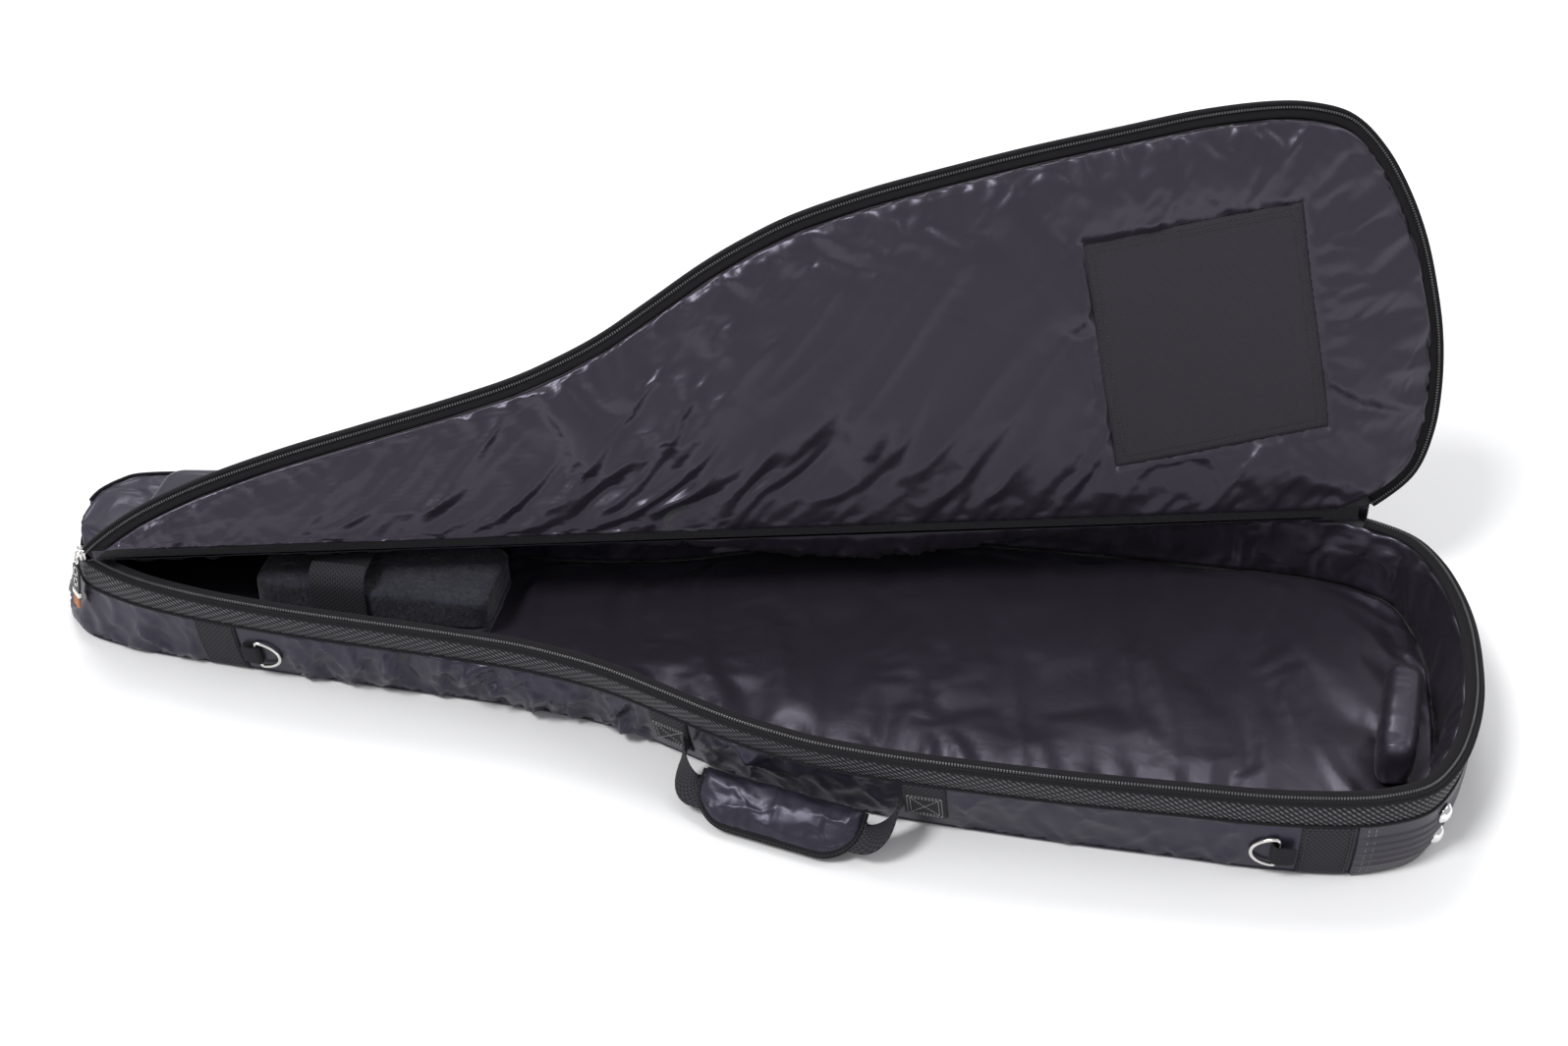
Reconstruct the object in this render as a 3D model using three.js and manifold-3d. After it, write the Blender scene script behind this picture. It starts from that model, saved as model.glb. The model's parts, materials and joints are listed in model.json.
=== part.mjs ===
// Padded gig bag for an electric bass, lying on its back with the lid folded open.
// Frame (mm): +X from the head to the tail, +Y towards the hinge side, +Z up.
// The origin is the middle of the back panel's underside, which rests on the floor.

import * as THREE from "three";
import { mergeVertices } from "three/addons/utils/BufferGeometryUtils.js";
import Module from "manifold-3d";

const wasm = await Module();
wasm.setup();

// ---------- driving dimensions ----------

const GAP = 0.3; // clearance between neighbouring pieces
const FACET_GAP = 1; // clearance between faceted pieces that lie along each other on the leaning wall

// Half outlines, [x, half width], head centre to tail centre.
const FLOOR_HALF = [
  [-604, 0], [-599, 38], [-560, 72], [-440, 86], [-290, 93], [-160, 98], [-70, 111], [25, 146],
  [110, 168], [230, 177], [380, 180], [500, 177], [562, 150], [587, 80], [592, 0],
];
const RIM_HALF = [
  [-578, 0], [-574, 31], [-550, 66], [-444, 97], [-292, 108], [-163, 115], [-78, 133], [18, 169],
  [103, 190], [226, 196], [380, 193], [501, 183], [567, 155], [600, 84], [609, 0],
];
const FAR_SLUMP = 38; // how far the far rim has sunk inward at the head
const SLUMP_X = [-585, -60]; // where the slump begins and ends
const STEPS_PER_SPAN = 2; // outline stations between two control points

const WALL_H = 80; // base wall, floor to zip tape
const SHELL_T = 1.6; // outer nylon with its backing
const LINING_T = 1.2;
const WALL_FOAM_T = 8.6;
const PANEL_T = 2.2; // back panel sheet
const FLOOR_FOAM_T = 12.7;
const BAND_H = 24; // mesh band under the zip
const WALL_LEVELS = [16, 36, 56]; // heights at which every wall piece has an edge
const TAPE_W = 12.5; // zip tape on the rim
const TAPE_T = 1.2;
const CHAIN_W = 3.4; // zip teeth
const CHAIN_H = 2.5;
const CHAIN_INSET = 2; // teeth from the outer edge
const LID_TOP = 97.5; // outer face of the closed lid
const LID_FOAM_T = 11.7;

const TAPE_Z = WALL_H + GAP;
const CHAIN_Z = TAPE_Z + TAPE_T + GAP;
const LID_CHAIN_Z = CHAIN_Z + CHAIN_H + GAP;
const LID_TAPE_Z = LID_CHAIN_Z + CHAIN_H + GAP;
const LID_RIM_Z = LID_TAPE_Z + TAPE_T + GAP;
const LID_FOAM_TOP = LID_TOP - SHELL_T - GAP;
const LID_FOAM_Z = LID_FOAM_TOP - LID_FOAM_T;
const LID_LINING_Z = LID_FOAM_Z - GAP - LINING_T;
const LINER_INSET = TAPE_W + 1; // lid foam and lining inside the tape

// The lid folds along a straight line between the two ends of the zip.
const FOLD_HEAD = new THREE.Vector3(-600, -74.6, LID_TOP);
const FOLD_TAIL = new THREE.Vector3(530, 178.6, LID_TOP);
const FOLD_GAP = 0.5; // each side of the fold line
const LID_OPEN_DEG = 109.85;

// Side-wall fittings, by their places along X.
const HEAD_BAND_X = [-450, -412];
const TAIL_BAND_X = [472, 510];
const GUARD_X = 513;
const HANDLE_X = [-6, 168]; // ends of the handle loop on the wall
const PATCH_LENGTH = 36;
const PATCH_Z = [16, 55];

const HANDLE_AXIS_Z = 43;
const HANDLE_DROP_DEG = 35; // below horizontal, grip touching down
const GRIP_LENGTH = 134;
const GRIP_V = [20, 62]; // near and far edge from the handle's axis
const GRIP_T = 14;
const STRAP_W = 26;
const STRAP_T = 2.2;

const RING_BAR = 30; // D-ring, straight side
const RING_BOW = 20;
const RING_WIRE = 3.2;
const TAB_LENGTH = 14;
const TAB_WIDTH = 21;
const TAB_T = 1.4;
const RING_PLAY = 0.5; // between the wire and the tab's loop
const RING_Z = 27;

const FOOT_R = 8.5;
const FOOT_Z = [19, 43];
const FOOT_STATION = 24.5;
const FOOT_OFFSET = 3.7; // from the wall, on the tail guard

const BLOCK_X = [-420, -210]; // neck rest
const BLOCK_Y = [-40, 44];
const BLOCK_TOP = 60;
const NECK_STRAP_X = [-366, -316];
const NECK_STRAP_T = 1.6;

const PULLER_W = 13;
const SLIDER_OFFSET = 1.6; // main slider from the wall
const POCKET_GUSSET_H = 10;
const POCKET_ZIP_H = 4;
const POCKET_FRONT_H = 7;
const POCKET_SLIDER_H = 15;
const POCKET_PULL_Z = 14.5; // pull ring above the pocket's zip

// ---------- solids ----------

function vec(x, y, z) {
  return new THREE.Vector3(x, y, z);
}

function signedVolume(points, faces) {
  let total = 0;
  for (const [a, b, c] of faces) {
    total += points[a].dot(points[b].clone().cross(points[c]));
  }
  return total / 6;
}

function solidFrom(points, faces) {
  const outward = signedVolume(points, faces) > 0;
  const index = faces.flatMap(([a, b, c]) => (outward ? [a, b, c] : [a, c, b]));
  const geometry = new THREE.BufferGeometry();
  geometry.setAttribute("position", new THREE.Float32BufferAttribute(points.flatMap((p) => p.toArray()), 3));
  geometry.setIndex(index);
  return geometry;
}

// Joins equal loops of points into one solid, closed in a ring or capped at both ends.
function skin(loops, { ring = false, contour = null } = {}) {
  const size = loops[0].length;
  const faces = [];
  const last = ring ? loops.length : loops.length - 1;
  for (let i = 0; i < last; i += 1) {
    const next = (i + 1) % loops.length;
    for (let j = 0; j < size; j += 1) {
      const k = (j + 1) % size;
      const [a, b, c, d] = [i * size + j, i * size + k, next * size + k, next * size + j];
      // The diagonal always climbs towards the next loop, so faces that lie along each other match.
      if (loops[i][j].z <= loops[i][k].z) {
        faces.push([a, b, c], [a, c, d]);
      } else {
        faces.push([a, b, d], [b, c, d]);
      }
    }
  }
  if (!ring) {
    const flat = contour ?? loops[0].map((p) => new THREE.Vector2(p.x, p.y));
    const far = (loops.length - 1) * size;
    for (const [a, b, c] of THREE.ShapeUtils.triangulateShape(flat, [])) {
      const turn = THREE.ShapeUtils.isClockWise(flat) ? [a, c, b] : [a, b, c];
      faces.push([turn[0], turn[2], turn[1]], [far + turn[0], far + turn[1], far + turn[2]]);
    }
  }
  return solidFrom(loops.flat(), faces);
}

function toManifold(geometry) {
  const bare = geometry.clone();
  bare.deleteAttribute("normal");
  bare.deleteAttribute("uv");
  const merged = mergeVertices(bare, 1e-4);
  return new wasm.Manifold(
    new wasm.Mesh({ numProp: 3, vertProperties: merged.attributes.position.array, triVerts: merged.index.array }),
  );
}

function toGeometry(manifold) {
  const mesh = manifold.getMesh();
  const geometry = new THREE.BufferGeometry();
  geometry.setAttribute("position", new THREE.BufferAttribute(mesh.vertProperties, 3));
  geometry.setIndex(new THREE.BufferAttribute(mesh.triVerts, 1));
  return geometry;
}

// ---------- outline and wall coordinates ----------

function outlineLoop(half, slump = 0) {
  const [head, body] = SLUMP_X;
  const sunk = (x) => slump * Math.sin(Math.PI * THREE.MathUtils.clamp((x - head) / (body - head), 0, 1) ** 0.6);
  const near = half.map(([x, w]) => vec(x, -w, 0));
  const far = half.slice(1, -1).reverse().map(([x, w]) => vec(x, w - sunk(x), 0));
  const controls = [...near, ...far];
  const curve = new THREE.CatmullRomCurve3(controls, true, "centripetal");
  const count = controls.length * STEPS_PER_SPAN;
  return Array.from({ length: count }, (_, i) => curve.getPoint(i / count));
}

function outwardNormals(loop) {
  return loop.map((_, i) => {
    const before = loop[(i + loop.length - 1) % loop.length];
    const after = loop[(i + 1) % loop.length];
    return vec(after.y - before.y, before.x - after.x, 0).normalize();
  });
}

const floorLoop = outlineLoop(FLOOR_HALF);
const rimLoop = outlineLoop(RIM_HALF, FAR_SLUMP);
const floorNormals = outwardNormals(floorLoop);
const rimNormals = outwardNormals(rimLoop);
const STATIONS = floorLoop.length;

// A point on the wall: station along the outline, offset outward, height.
function wallPoint(station, offset, z) {
  const rise = Math.min(z / WALL_H, 1);
  const index = Math.floor(station) % STATIONS;
  const next = (index + 1) % STATIONS;
  const part = station - Math.floor(station);
  const at = (i) => {
    const foot = floorLoop[i].clone().addScaledVector(floorNormals[i], offset);
    const head = rimLoop[i].clone().addScaledVector(rimNormals[i], offset);
    return foot.lerp(head, rise);
  };
  return at(index).lerp(at(next), part).setZ(z);
}

// The near-side station whose wall is at x, halfway up.
function stationAt(x) {
  let low = 0;
  let high = STATIONS / 2;
  for (let i = 0; i < 40; i += 1) {
    const middle = (low + high) / 2;
    if (wallPoint(middle, 0, WALL_H / 2).x < x) {
      low = middle;
    } else {
      high = middle;
    }
  }
  return low;
}

// A wall piece's section, [offset, height], with edges at the same heights as its neighbours.
function wallSection([inside, outside], [bottom, top]) {
  const breaks = WALL_LEVELS.filter((z) => z > bottom + GAP && z < top - GAP);
  const rising = [bottom, ...breaks, top];
  const falling = rising.toReversed();
  return [...rising.map((z) => [outside, z]), ...falling.map((z) => [inside, z])];
}

// A ring round the whole outline.
function wallRing(offsets, heights) {
  const section = wallSection(offsets, heights);
  const loops = floorLoop.map((_, i) => section.map(([s, z]) => wallPoint(i, s, z)));
  return skin(loops, { ring: true });
}

// A patch that follows the wall between two stations.
function wallPatch(from, to, offsets, heights) {
  const stations = [from];
  for (let i = Math.floor(from) + 1; i < to; i += 1) {
    stations.push(i);
  }
  stations.push(to);
  const section = wallSection(offsets, heights);
  const loops = stations.map((t) => section.map(([s, z]) => wallPoint(t, s, z)));
  return skin(loops, { contour: section.map(([s, z]) => new THREE.Vector2(s, z)) });
}

// A plate or stepped slab that fills the outline: [inset, height] at each level.
function slab(levels) {
  return skin(levels.map(([inset, z]) => floorLoop.map((_, i) => wallPoint(i, -inset, z))));
}

// A frame standing on the wall: x along it, y up it, z outward.
function wallFrame(station, offset, z) {
  const along = wallPoint(station + 0.1, offset, z).sub(wallPoint(station - 0.1, offset, z)).normalize();
  const up = wallPoint(station, offset, z + 4).sub(wallPoint(station, offset, z - 4)).normalize();
  const out = along.clone().cross(up).normalize();
  const matrix = new THREE.Matrix4().makeBasis(along, out.clone().cross(along), out);
  return matrix.setPosition(wallPoint(station, offset, z));
}

// ---------- small shapes ----------

function roundedPolygon(points, radius) {
  const shape = new THREE.Shape();
  points.forEach((point, i) => {
    const corner = new THREE.Vector2(...point);
    const before = new THREE.Vector2(...points[(i + points.length - 1) % points.length]);
    const after = new THREE.Vector2(...points[(i + 1) % points.length]);
    const enter = corner.clone().add(before.sub(corner).setLength(radius));
    const leave = corner.clone().add(after.sub(corner).setLength(radius));
    if (i === 0) {
      shape.moveTo(enter.x, enter.y);
    } else {
      shape.lineTo(enter.x, enter.y);
    }
    shape.quadraticCurveTo(corner.x, corner.y, leave.x, leave.y);
  });
  shape.closePath();
  return shape;
}

function box2(x0, x1, y0, y1) {
  return [[x0, y0], [x1, y0], [x1, y1], [x0, y1]];
}

function prism(shape, height, curveSegments = 4) {
  return new THREE.ExtrudeGeometry(shape, { depth: height, bevelEnabled: false, curveSegments });
}

// A thick ribbon: a path in a plane, given a thickness, run out to a width.
function ribbon(path, thickness, width) {
  const points = path.map(([x, y]) => new THREE.Vector2(x, y));
  const sides = points.map((point, i) => {
    const before = points[Math.max(i - 1, 0)];
    const after = points[Math.min(i + 1, points.length - 1)];
    const direction = after.clone().sub(before).normalize();
    const normal = new THREE.Vector2(-direction.y, direction.x).multiplyScalar(thickness / 2);
    return [point.clone().add(normal), point.clone().sub(normal)];
  });
  const outline = [...sides.map((s) => s[0]), ...sides.map((s) => s[1]).reverse()];
  return prism(new THREE.Shape(outline), width);
}

// A round wire along a closed loop of points in the x-y plane.
function wireLoop(points, radius, sides = 6) {
  const count = points.length;
  const normal = vec(0, 0, 1);
  const loops = points.map((point, i) => {
    const along = points[(i + 1) % count].clone().sub(points[(i + count - 1) % count]).normalize();
    const across = along.clone().cross(normal).normalize();
    return Array.from({ length: sides }, (_, k) => {
      const angle = (2 * Math.PI * (k + 0.5)) / sides;
      return point
        .clone()
        .addScaledVector(across, radius * Math.cos(angle))
        .addScaledVector(normal, radius * Math.sin(angle));
    });
  });
  return skin(loops, { ring: true });
}

// ---------- scene graph ----------

const bag = new THREE.Group();

const LOOKS = {
  nylon: { color: 0x2b2c36, roughness: 0.42, metalness: 0 },
  lining: { color: 0x2a2930, roughness: 0.38, metalness: 0 },
  foam: { color: 0x46474c, roughness: 0.95, metalness: 0 },
  webbing: { color: 0x17171a, roughness: 0.8, metalness: 0 },
  mesh: { color: 0x1d1e22, roughness: 0.7, metalness: 0 },
  teeth: { color: 0x6d6e74, roughness: 0.4, metalness: 0.2 },
  vinyl: { color: 0x25262b, roughness: 0.5, metalness: 0 },
  chrome: { color: 0xd8d8dc, roughness: 0.12, metalness: 1 },
  fleece: { color: 0x1d1f27, roughness: 0.95, metalness: 0 },
  patch: { color: 0x1c1c20, roughness: 0.75, metalness: 0 },
  orange: { color: 0xc0602a, roughness: 0.6, metalness: 0 },
};

function add(name, geometry, look, parent = bag) {
  const mesh = new THREE.Mesh(geometry, new THREE.MeshStandardMaterial(LOOKS[look]));
  mesh.name = name;
  parent.add(mesh);
  return mesh;
}

function placed(matrix, parent = bag) {
  const group = new THREE.Group();
  matrix.decompose(group.position, group.quaternion, group.scale);
  parent.add(group);
  return group;
}

// ---------- fold line ----------

const foldAlong = FOLD_TAIL.clone().sub(FOLD_HEAD).normalize();
const foldNear = vec(foldAlong.y, -foldAlong.x, 0); // across the fold, towards the opening side

function foldSide(side) {
  const size = 4000;
  const block = new THREE.BoxGeometry(size, size, size);
  const centre = FOLD_HEAD.clone().addScaledVector(foldNear, side * (size / 2 + FOLD_GAP));
  const basis = new THREE.Matrix4().makeBasis(foldAlong, foldNear.clone().negate(), vec(0, 0, 1));
  block.applyMatrix4(basis.setPosition(centre));
  return toManifold(block);
}

const nearSide = foldSide(1);
const farSide = foldSide(-1);

function cut(geometry, side) {
  return toGeometry(toManifold(geometry).intersect(side));
}

// The opened lid turns about the fold; pieces inside it are modelled closed.
const lidTurn = new THREE.Group();
lidTurn.position.copy(FOLD_HEAD);
lidTurn.quaternion.setFromAxisAngle(foldAlong.clone().negate(), THREE.MathUtils.degToRad(LID_OPEN_DEG));
bag.add(lidTurn);
const lid = new THREE.Group();
lid.position.copy(FOLD_HEAD).negate();
lidTurn.add(lid);

// ---------- base ----------

function addBase() {
  const foamIn = SHELL_T + FACET_GAP;
  const liningIn = foamIn + WALL_FOAM_T + FACET_GAP;
  const foamTop = PANEL_T + GAP + FLOOR_FOAM_T;
  const liningZ = foamTop + GAP;
  const bandZ = WALL_H - BAND_H;
  add("back_panel_shell", slab([[0, 0], [0, PANEL_T]]), "nylon");
  add("back_panel_foam", slab([[liningIn, PANEL_T + GAP], [liningIn, foamTop]]), "foam");
  const panelIn = liningIn + LINING_T + FACET_GAP;
  add("back_panel_lining", slab([[panelIn, liningZ], [panelIn, liningZ + LINING_T]]), "lining");
  add("side_wall_shell", wallRing([-SHELL_T, 0], [PANEL_T + GAP, bandZ - GAP]), "nylon");
  add("rim_mesh_band", wallRing([-SHELL_T, 0], [bandZ, WALL_H]), "mesh");
  add("side_wall_foam", wallRing([-foamIn - WALL_FOAM_T, -foamIn], [PANEL_T + GAP, WALL_H]), "foam");
  add("side_wall_lining", wallRing([-liningIn - LINING_T, -liningIn], [liningZ, WALL_H]), "lining");
}

function addZip(name, tapeZ, chainZ, parent) {
  const tape = wallRing([-TAPE_W, -GAP], [tapeZ, tapeZ + TAPE_T]);
  const chain = wallRing([-CHAIN_INSET - CHAIN_W, -CHAIN_INSET], [chainZ, chainZ + CHAIN_H]);
  add(`zip_tape_${name}`, cut(tape, nearSide), "webbing", parent);
  add(`zip_chain_${name}`, cut(chain, nearSide), "teeth", parent);
}

// The lid's layers, cut along the fold: one side moves, the other is fixed to the wall.
function addLidLayers() {
  const rimIn = SHELL_T + GAP;
  const shell = slab([[rimIn, LID_TOP - SHELL_T], [rimIn, LID_TOP]]);
  const lining = slab([[LINER_INSET, LID_LINING_Z], [LINER_INSET, LID_LINING_Z + LINING_T]]);
  const lidFoam = slab([
    [LINER_INSET, LID_FOAM_Z],
    [LINER_INSET, LID_RIM_Z],
    [rimIn + GAP, LID_RIM_Z],
    [rimIn + GAP, LID_FOAM_TOP],
  ]);
  const stripFoam = slab([
    [LINER_INSET + GAP, LID_FOAM_Z],
    [LINER_INSET + GAP, TAPE_Z],
    [rimIn + GAP, TAPE_Z],
    [rimIn + GAP, LID_FOAM_TOP],
  ]);
  add("lid_shell", cut(shell, nearSide), "nylon", lid);
  add("lid_foam", cut(lidFoam, nearSide), "foam", lid);
  add("lid_lining", cut(lining, nearSide), "lining", lid);
  add("lid_edge_binding", cut(wallRing([-SHELL_T, 0], [LID_RIM_Z, LID_TOP]), nearSide), "webbing", lid);
  add("hinge_strip_shell", cut(shell, farSide), "nylon");
  add("hinge_strip_foam", cut(stripFoam, farSide), "foam");
  const stripLining = slab([[LINER_INSET + 2 * GAP, LID_LINING_Z], [LINER_INSET + 2 * GAP, LID_LINING_Z + LINING_T]]);
  add("hinge_strip_lining", cut(stripLining, farSide), "lining");
  add("hinge_gusset", cut(wallRing([-SHELL_T, 0], [TAPE_Z, LID_TOP]), farSide), "nylon");
}

function addBridgePatch() {
  const size = [184, 195];
  const thickness = 1.4;
  const shape = roundedPolygon(box2(-size[0] / 2, size[0] / 2, -size[1] / 2, size[1] / 2), 3);
  const mesh = add("bridge_patch", prism(shape, thickness, 2), "patch", lid);
  mesh.position.set(413, -7, LID_LINING_Z - GAP - thickness);
  mesh.rotation.z = THREE.MathUtils.degToRad(3.2);
}

// ---------- wall fittings ----------

function addWallFittings() {
  const skinOut = [FACET_GAP, FACET_GAP + 1.6];
  const low = PANEL_T + GAP;
  const high = WALL_H - BAND_H - GAP;
  const strip = (name, [x0, x1], heights, look) => {
    add(name, wallPatch(stationAt(x0), stationAt(x1), skinOut, heights), look);
  };
  strip("side_band_head", HEAD_BAND_X, [low, high], "webbing");
  strip("side_band_tail", TAIL_BAND_X, [low, high], "webbing");
  const guardFrom = stationAt(GUARD_X);
  add("tail_guard", wallPatch(guardFrom, STATIONS - guardFrom, skinOut, [low, high]), "vinyl");
  strip("handle_patch_head", [HANDLE_X[0] - PATCH_LENGTH, HANDLE_X[0] - 2], PATCH_Z, "webbing");
  strip("handle_patch_tail", [HANDLE_X[1] + 2, HANDLE_X[1] + PATCH_LENGTH], PATCH_Z, "webbing");
}

function addFeet() {
  const profile = [[0, 0], [FOOT_R, 0], [FOOT_R, 1.5], [7, 3.6], [4, 5.4], [0, 6]];
  const dome = new THREE.LatheGeometry(profile.map(([r, h]) => new THREE.Vector2(r, h)), 14);
  dome.rotateX(Math.PI / 2);
  const stations = [FOOT_STATION, STATIONS - FOOT_STATION];
  stations.forEach((station, i) => {
    FOOT_Z.forEach((z, j) => {
      const frame = placed(wallFrame(station, FOOT_OFFSET, z));
      add(`tail_foot_${2 * i + j + 1}`, dome.clone(), "chrome", frame);
    });
  });
}

// A D-ring lying along the wall in the loop of a short webbing tab.
function addRing(name, x, towards) {
  const inner = RING_WIRE / 2 + RING_PLAY;
  const tabOuter = inner + TAB_T;
  const frame = placed(wallFrame(stationAt(x), FACET_GAP + tabOuter, RING_Z));
  const turns = 8;
  const arc = (radius) =>
    Array.from({ length: turns + 1 }, (_, i) => {
      const angle = Math.PI / 2 + (Math.PI * i) / turns;
      return [radius * Math.cos(angle), radius * Math.sin(angle)];
    });
  const lowLeg = [[TAB_LENGTH, -tabOuter], [TAB_LENGTH, -inner]];
  const highLeg = [[TAB_LENGTH, inner], [TAB_LENGTH, tabOuter]];
  const section = [...arc(tabOuter), ...lowLeg, ...arc(inner).reverse(), ...highLeg];
  const shape = new THREE.Shape(section.map(([u, w]) => new THREE.Vector2(-towards * u, w)));
  const tab = prism(shape, TAB_WIDTH);
  tab.rotateX(-Math.PI / 2);
  tab.translate(0, -TAB_WIDTH / 2, 0);
  add(`d_ring_tab_${name}`, tab, "webbing", frame);
  const bowSteps = 12;
  const half = RING_BAR / 2;
  const points = [vec(0, -half, 0), vec(0, 0, 0), vec(0, half, 0)];
  for (let i = 1; i < bowSteps; i += 1) {
    const angle = (Math.PI * i) / bowSteps;
    points.push(vec(towards * RING_BOW * Math.sin(angle), half * Math.cos(angle), 0));
  }
  add(`d_ring_${name}`, wireLoop(points, RING_WIRE / 2), "chrome", frame);
}

// ---------- handle ----------

// Handle axes: u along the wall, v from the wall to the grip's free edge, w square to both.
function handleFrame() {
  const start = wallPoint(stationAt(HANDLE_X[0]), 4, HANDLE_AXIS_Z);
  const end = wallPoint(stationAt(HANDLE_X[1]), 4, HANDLE_AXIS_Z);
  const u = end.clone().sub(start).normalize();
  const drop = THREE.MathUtils.degToRad(HANDLE_DROP_DEG);
  const outward = vec(u.y, -u.x, 0);
  const v = outward.multiplyScalar(Math.cos(drop)).add(vec(0, 0, -Math.sin(drop)));
  const matrix = new THREE.Matrix4().makeBasis(u, v, u.clone().cross(v));
  return { matrix: matrix.setPosition(start), span: end.distanceTo(start) };
}

function addHandle() {
  const { matrix, span } = handleFrame();
  const frame = placed(matrix);
  const middle = (GRIP_V[0] + GRIP_V[1]) / 2;
  const reach = 20; // from an anchor to the stretch inside the grip
  const end = [];
  const turns = 6;
  for (let i = 0; i <= turns; i += 1) {
    const angle = (Math.PI / 2) * (i / turns);
    end.push({
      at: [reach * (1 - Math.cos(angle)), 4 + (middle - 4) * Math.sin(angle)],
      along: [Math.sin(angle), Math.cos(angle)],
      twist: angle,
    });
  }
  const mirrored = end
    .map(({ at, along, twist }) => ({ at: [span - at[0], at[1]], along: [along[0], -along[1]], twist: -twist }))
    .reverse();
  const loops = [...end, ...mirrored].map(({ at, along, twist }) => {
    const across = vec(-along[1], along[0], 0);
    const wide = vec(0, 0, Math.cos(twist)).addScaledVector(across, Math.sin(twist));
    const thin = vec(along[0], along[1], 0).cross(wide);
    return [[-1, -1], [1, -1], [1, 1], [-1, 1]].map(([a, b]) =>
      vec(at[0], at[1], 0)
        .addScaledVector(wide, (a * STRAP_W) / 2)
        .addScaledVector(thin, (b * STRAP_T) / 2),
    );
  });
  add("handle_strap", skin(loops, { contour: box2(0, 1, 0, 1).map((p) => new THREE.Vector2(...p)) }), "webbing", frame);

  const pad = roundedPolygon(box2(GRIP_V[0], GRIP_V[1], -GRIP_T / 2, GRIP_T / 2), 5);
  const room = 0.5;
  const slot = box2(
    middle - STRAP_W / 2 - room,
    middle + STRAP_W / 2 + room,
    -STRAP_T / 2 - room,
    STRAP_T / 2 + room,
  );
  pad.holes.push(new THREE.Path(slot.reverse().map((p) => new THREE.Vector2(...p))));
  // The section stands in the v-w plane and runs along u.
  const standing = new THREE.Matrix4().makeBasis(vec(0, 1, 0), vec(0, 0, 1), vec(1, 0, 0));
  const gripStart = (span - GRIP_LENGTH) / 2;
  const grip = prism(pad, GRIP_LENGTH, 2).applyMatrix4(standing).translate(gripStart, 0, 0);
  add("handle_grip", grip, "nylon", frame);
  const edge = roundedPolygon(box2(GRIP_V[1] + GAP, GRIP_V[1] + 4, -3, 3), 1.2);
  const binding = prism(edge, GRIP_LENGTH, 2).applyMatrix4(standing).translate(gripStart, 0, 0);
  add("handle_binding", binding, "webbing", frame);
}

// ---------- inside the main compartment ----------

function addNeckRest() {
  const floorTop = PANEL_T + FLOOR_FOAM_T + LINING_T + 3 * GAP;
  const shape = roundedPolygon(box2(BLOCK_X[0], BLOCK_X[1], BLOCK_Y[0], BLOCK_Y[1]), 14);
  add("neck_rest_block", prism(shape, BLOCK_TOP - floorTop, 3), "fleece").position.z = floorTop;
  // Strap paths run in the Y-Z plane and are as wide as the strap along X.
  const width = NECK_STRAP_X[1] - NECK_STRAP_X[0];
  const turned = new THREE.Matrix4().makeBasis(vec(0, 1, 0), vec(0, 0, 1), vec(1, 0, 0));
  turned.setPosition(vec(NECK_STRAP_X[0], 0, 0));
  const foot = floorTop + 1;
  const over = [[46, foot], [46, 66], [42, 72.5], [34, 75], [0, 75.5], [-24, 75], [-32, 72.5]];
  const near = [[-43.5, foot], [-42.5, 60], [-40.5, 68], [-36, 74.5], [-27, 77.5]];
  add("neck_strap_over", ribbon(over, NECK_STRAP_T, width).applyMatrix4(turned), "webbing");
  add("neck_strap_near", ribbon(near, NECK_STRAP_T, width).applyMatrix4(turned), "webbing");
}

function addTailPad() {
  const floorTop = PANEL_T + FLOOR_FOAM_T + LINING_T + 3 * GAP;
  const shape = roundedPolygon(box2(-55, 55, -15, 15), 12);
  const pad = add("tail_pad", prism(shape, 52, 3), "lining");
  pad.position.set(549, -42, floorTop);
  pad.rotation.z = THREE.MathUtils.degToRad(84);
}

// ---------- zip sliders and pulls ----------

// The main slider is parked at the head end of the zip; its long puller hangs down the wall.
function foldStation() {
  let station = 0;
  const past = (t) => wallPoint(t, 0, WALL_H).sub(FOLD_HEAD).dot(foldNear);
  while (past(station) < -8) {
    station += 0.01;
  }
  return station;
}

function addMainPuller() {
  const station = foldStation();
  const body = roundedPolygon(box2(-6, 6, -5, 5), 2);
  const parked = placed(wallFrame(station, SLIDER_OFFSET, WALL_H + 12));
  add("main_slider", prism(body, 5, 2), "chrome", parked).position.y = -6;

  // The puller follows the leaning end wall: x along the wall, -y down it.
  const lean = wallFrame(station, 0, WALL_H / 2);
  const hang = placed(lean.setPosition(wallPoint(station, SLIDER_OFFSET + 8, WALL_H + 4)));
  const ring = Array.from({ length: 12 }, (_, i) => {
    const angle = (2 * Math.PI * i) / 12;
    return vec(3.6 * Math.cos(angle), 3.6 * Math.sin(angle), 0);
  });
  add("main_puller_ring", wireLoop(ring, 0.9), "chrome", hang).position.set(0, -2.5, 0);
  const strip = roundedPolygon(box2(-PULLER_W / 2, PULLER_W / 2, -33, -7.4), 3);
  for (const y of [-14, -25]) {
    const hole = new THREE.Path();
    hole.absellipse(0, y, 3.6, 4.2, 0, 2 * Math.PI, true);
    strip.holes.push(hole);
  }
  add("main_puller_strip", prism(strip, 2, 4), "vinyl", hang).position.z = -1;
  const band = roundedPolygon(box2(-7, 7, -38.6, -33.3), 1);
  add("main_puller_band", prism(band, 3.4, 2), "chrome", hang).position.z = -1.7;
  const tab = roundedPolygon(box2(-6, 6, -50, -38.9), 3);
  add("main_puller_tab", prism(tab, 2.2, 2), "orange", hang).position.z = -1.1;
}

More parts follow.
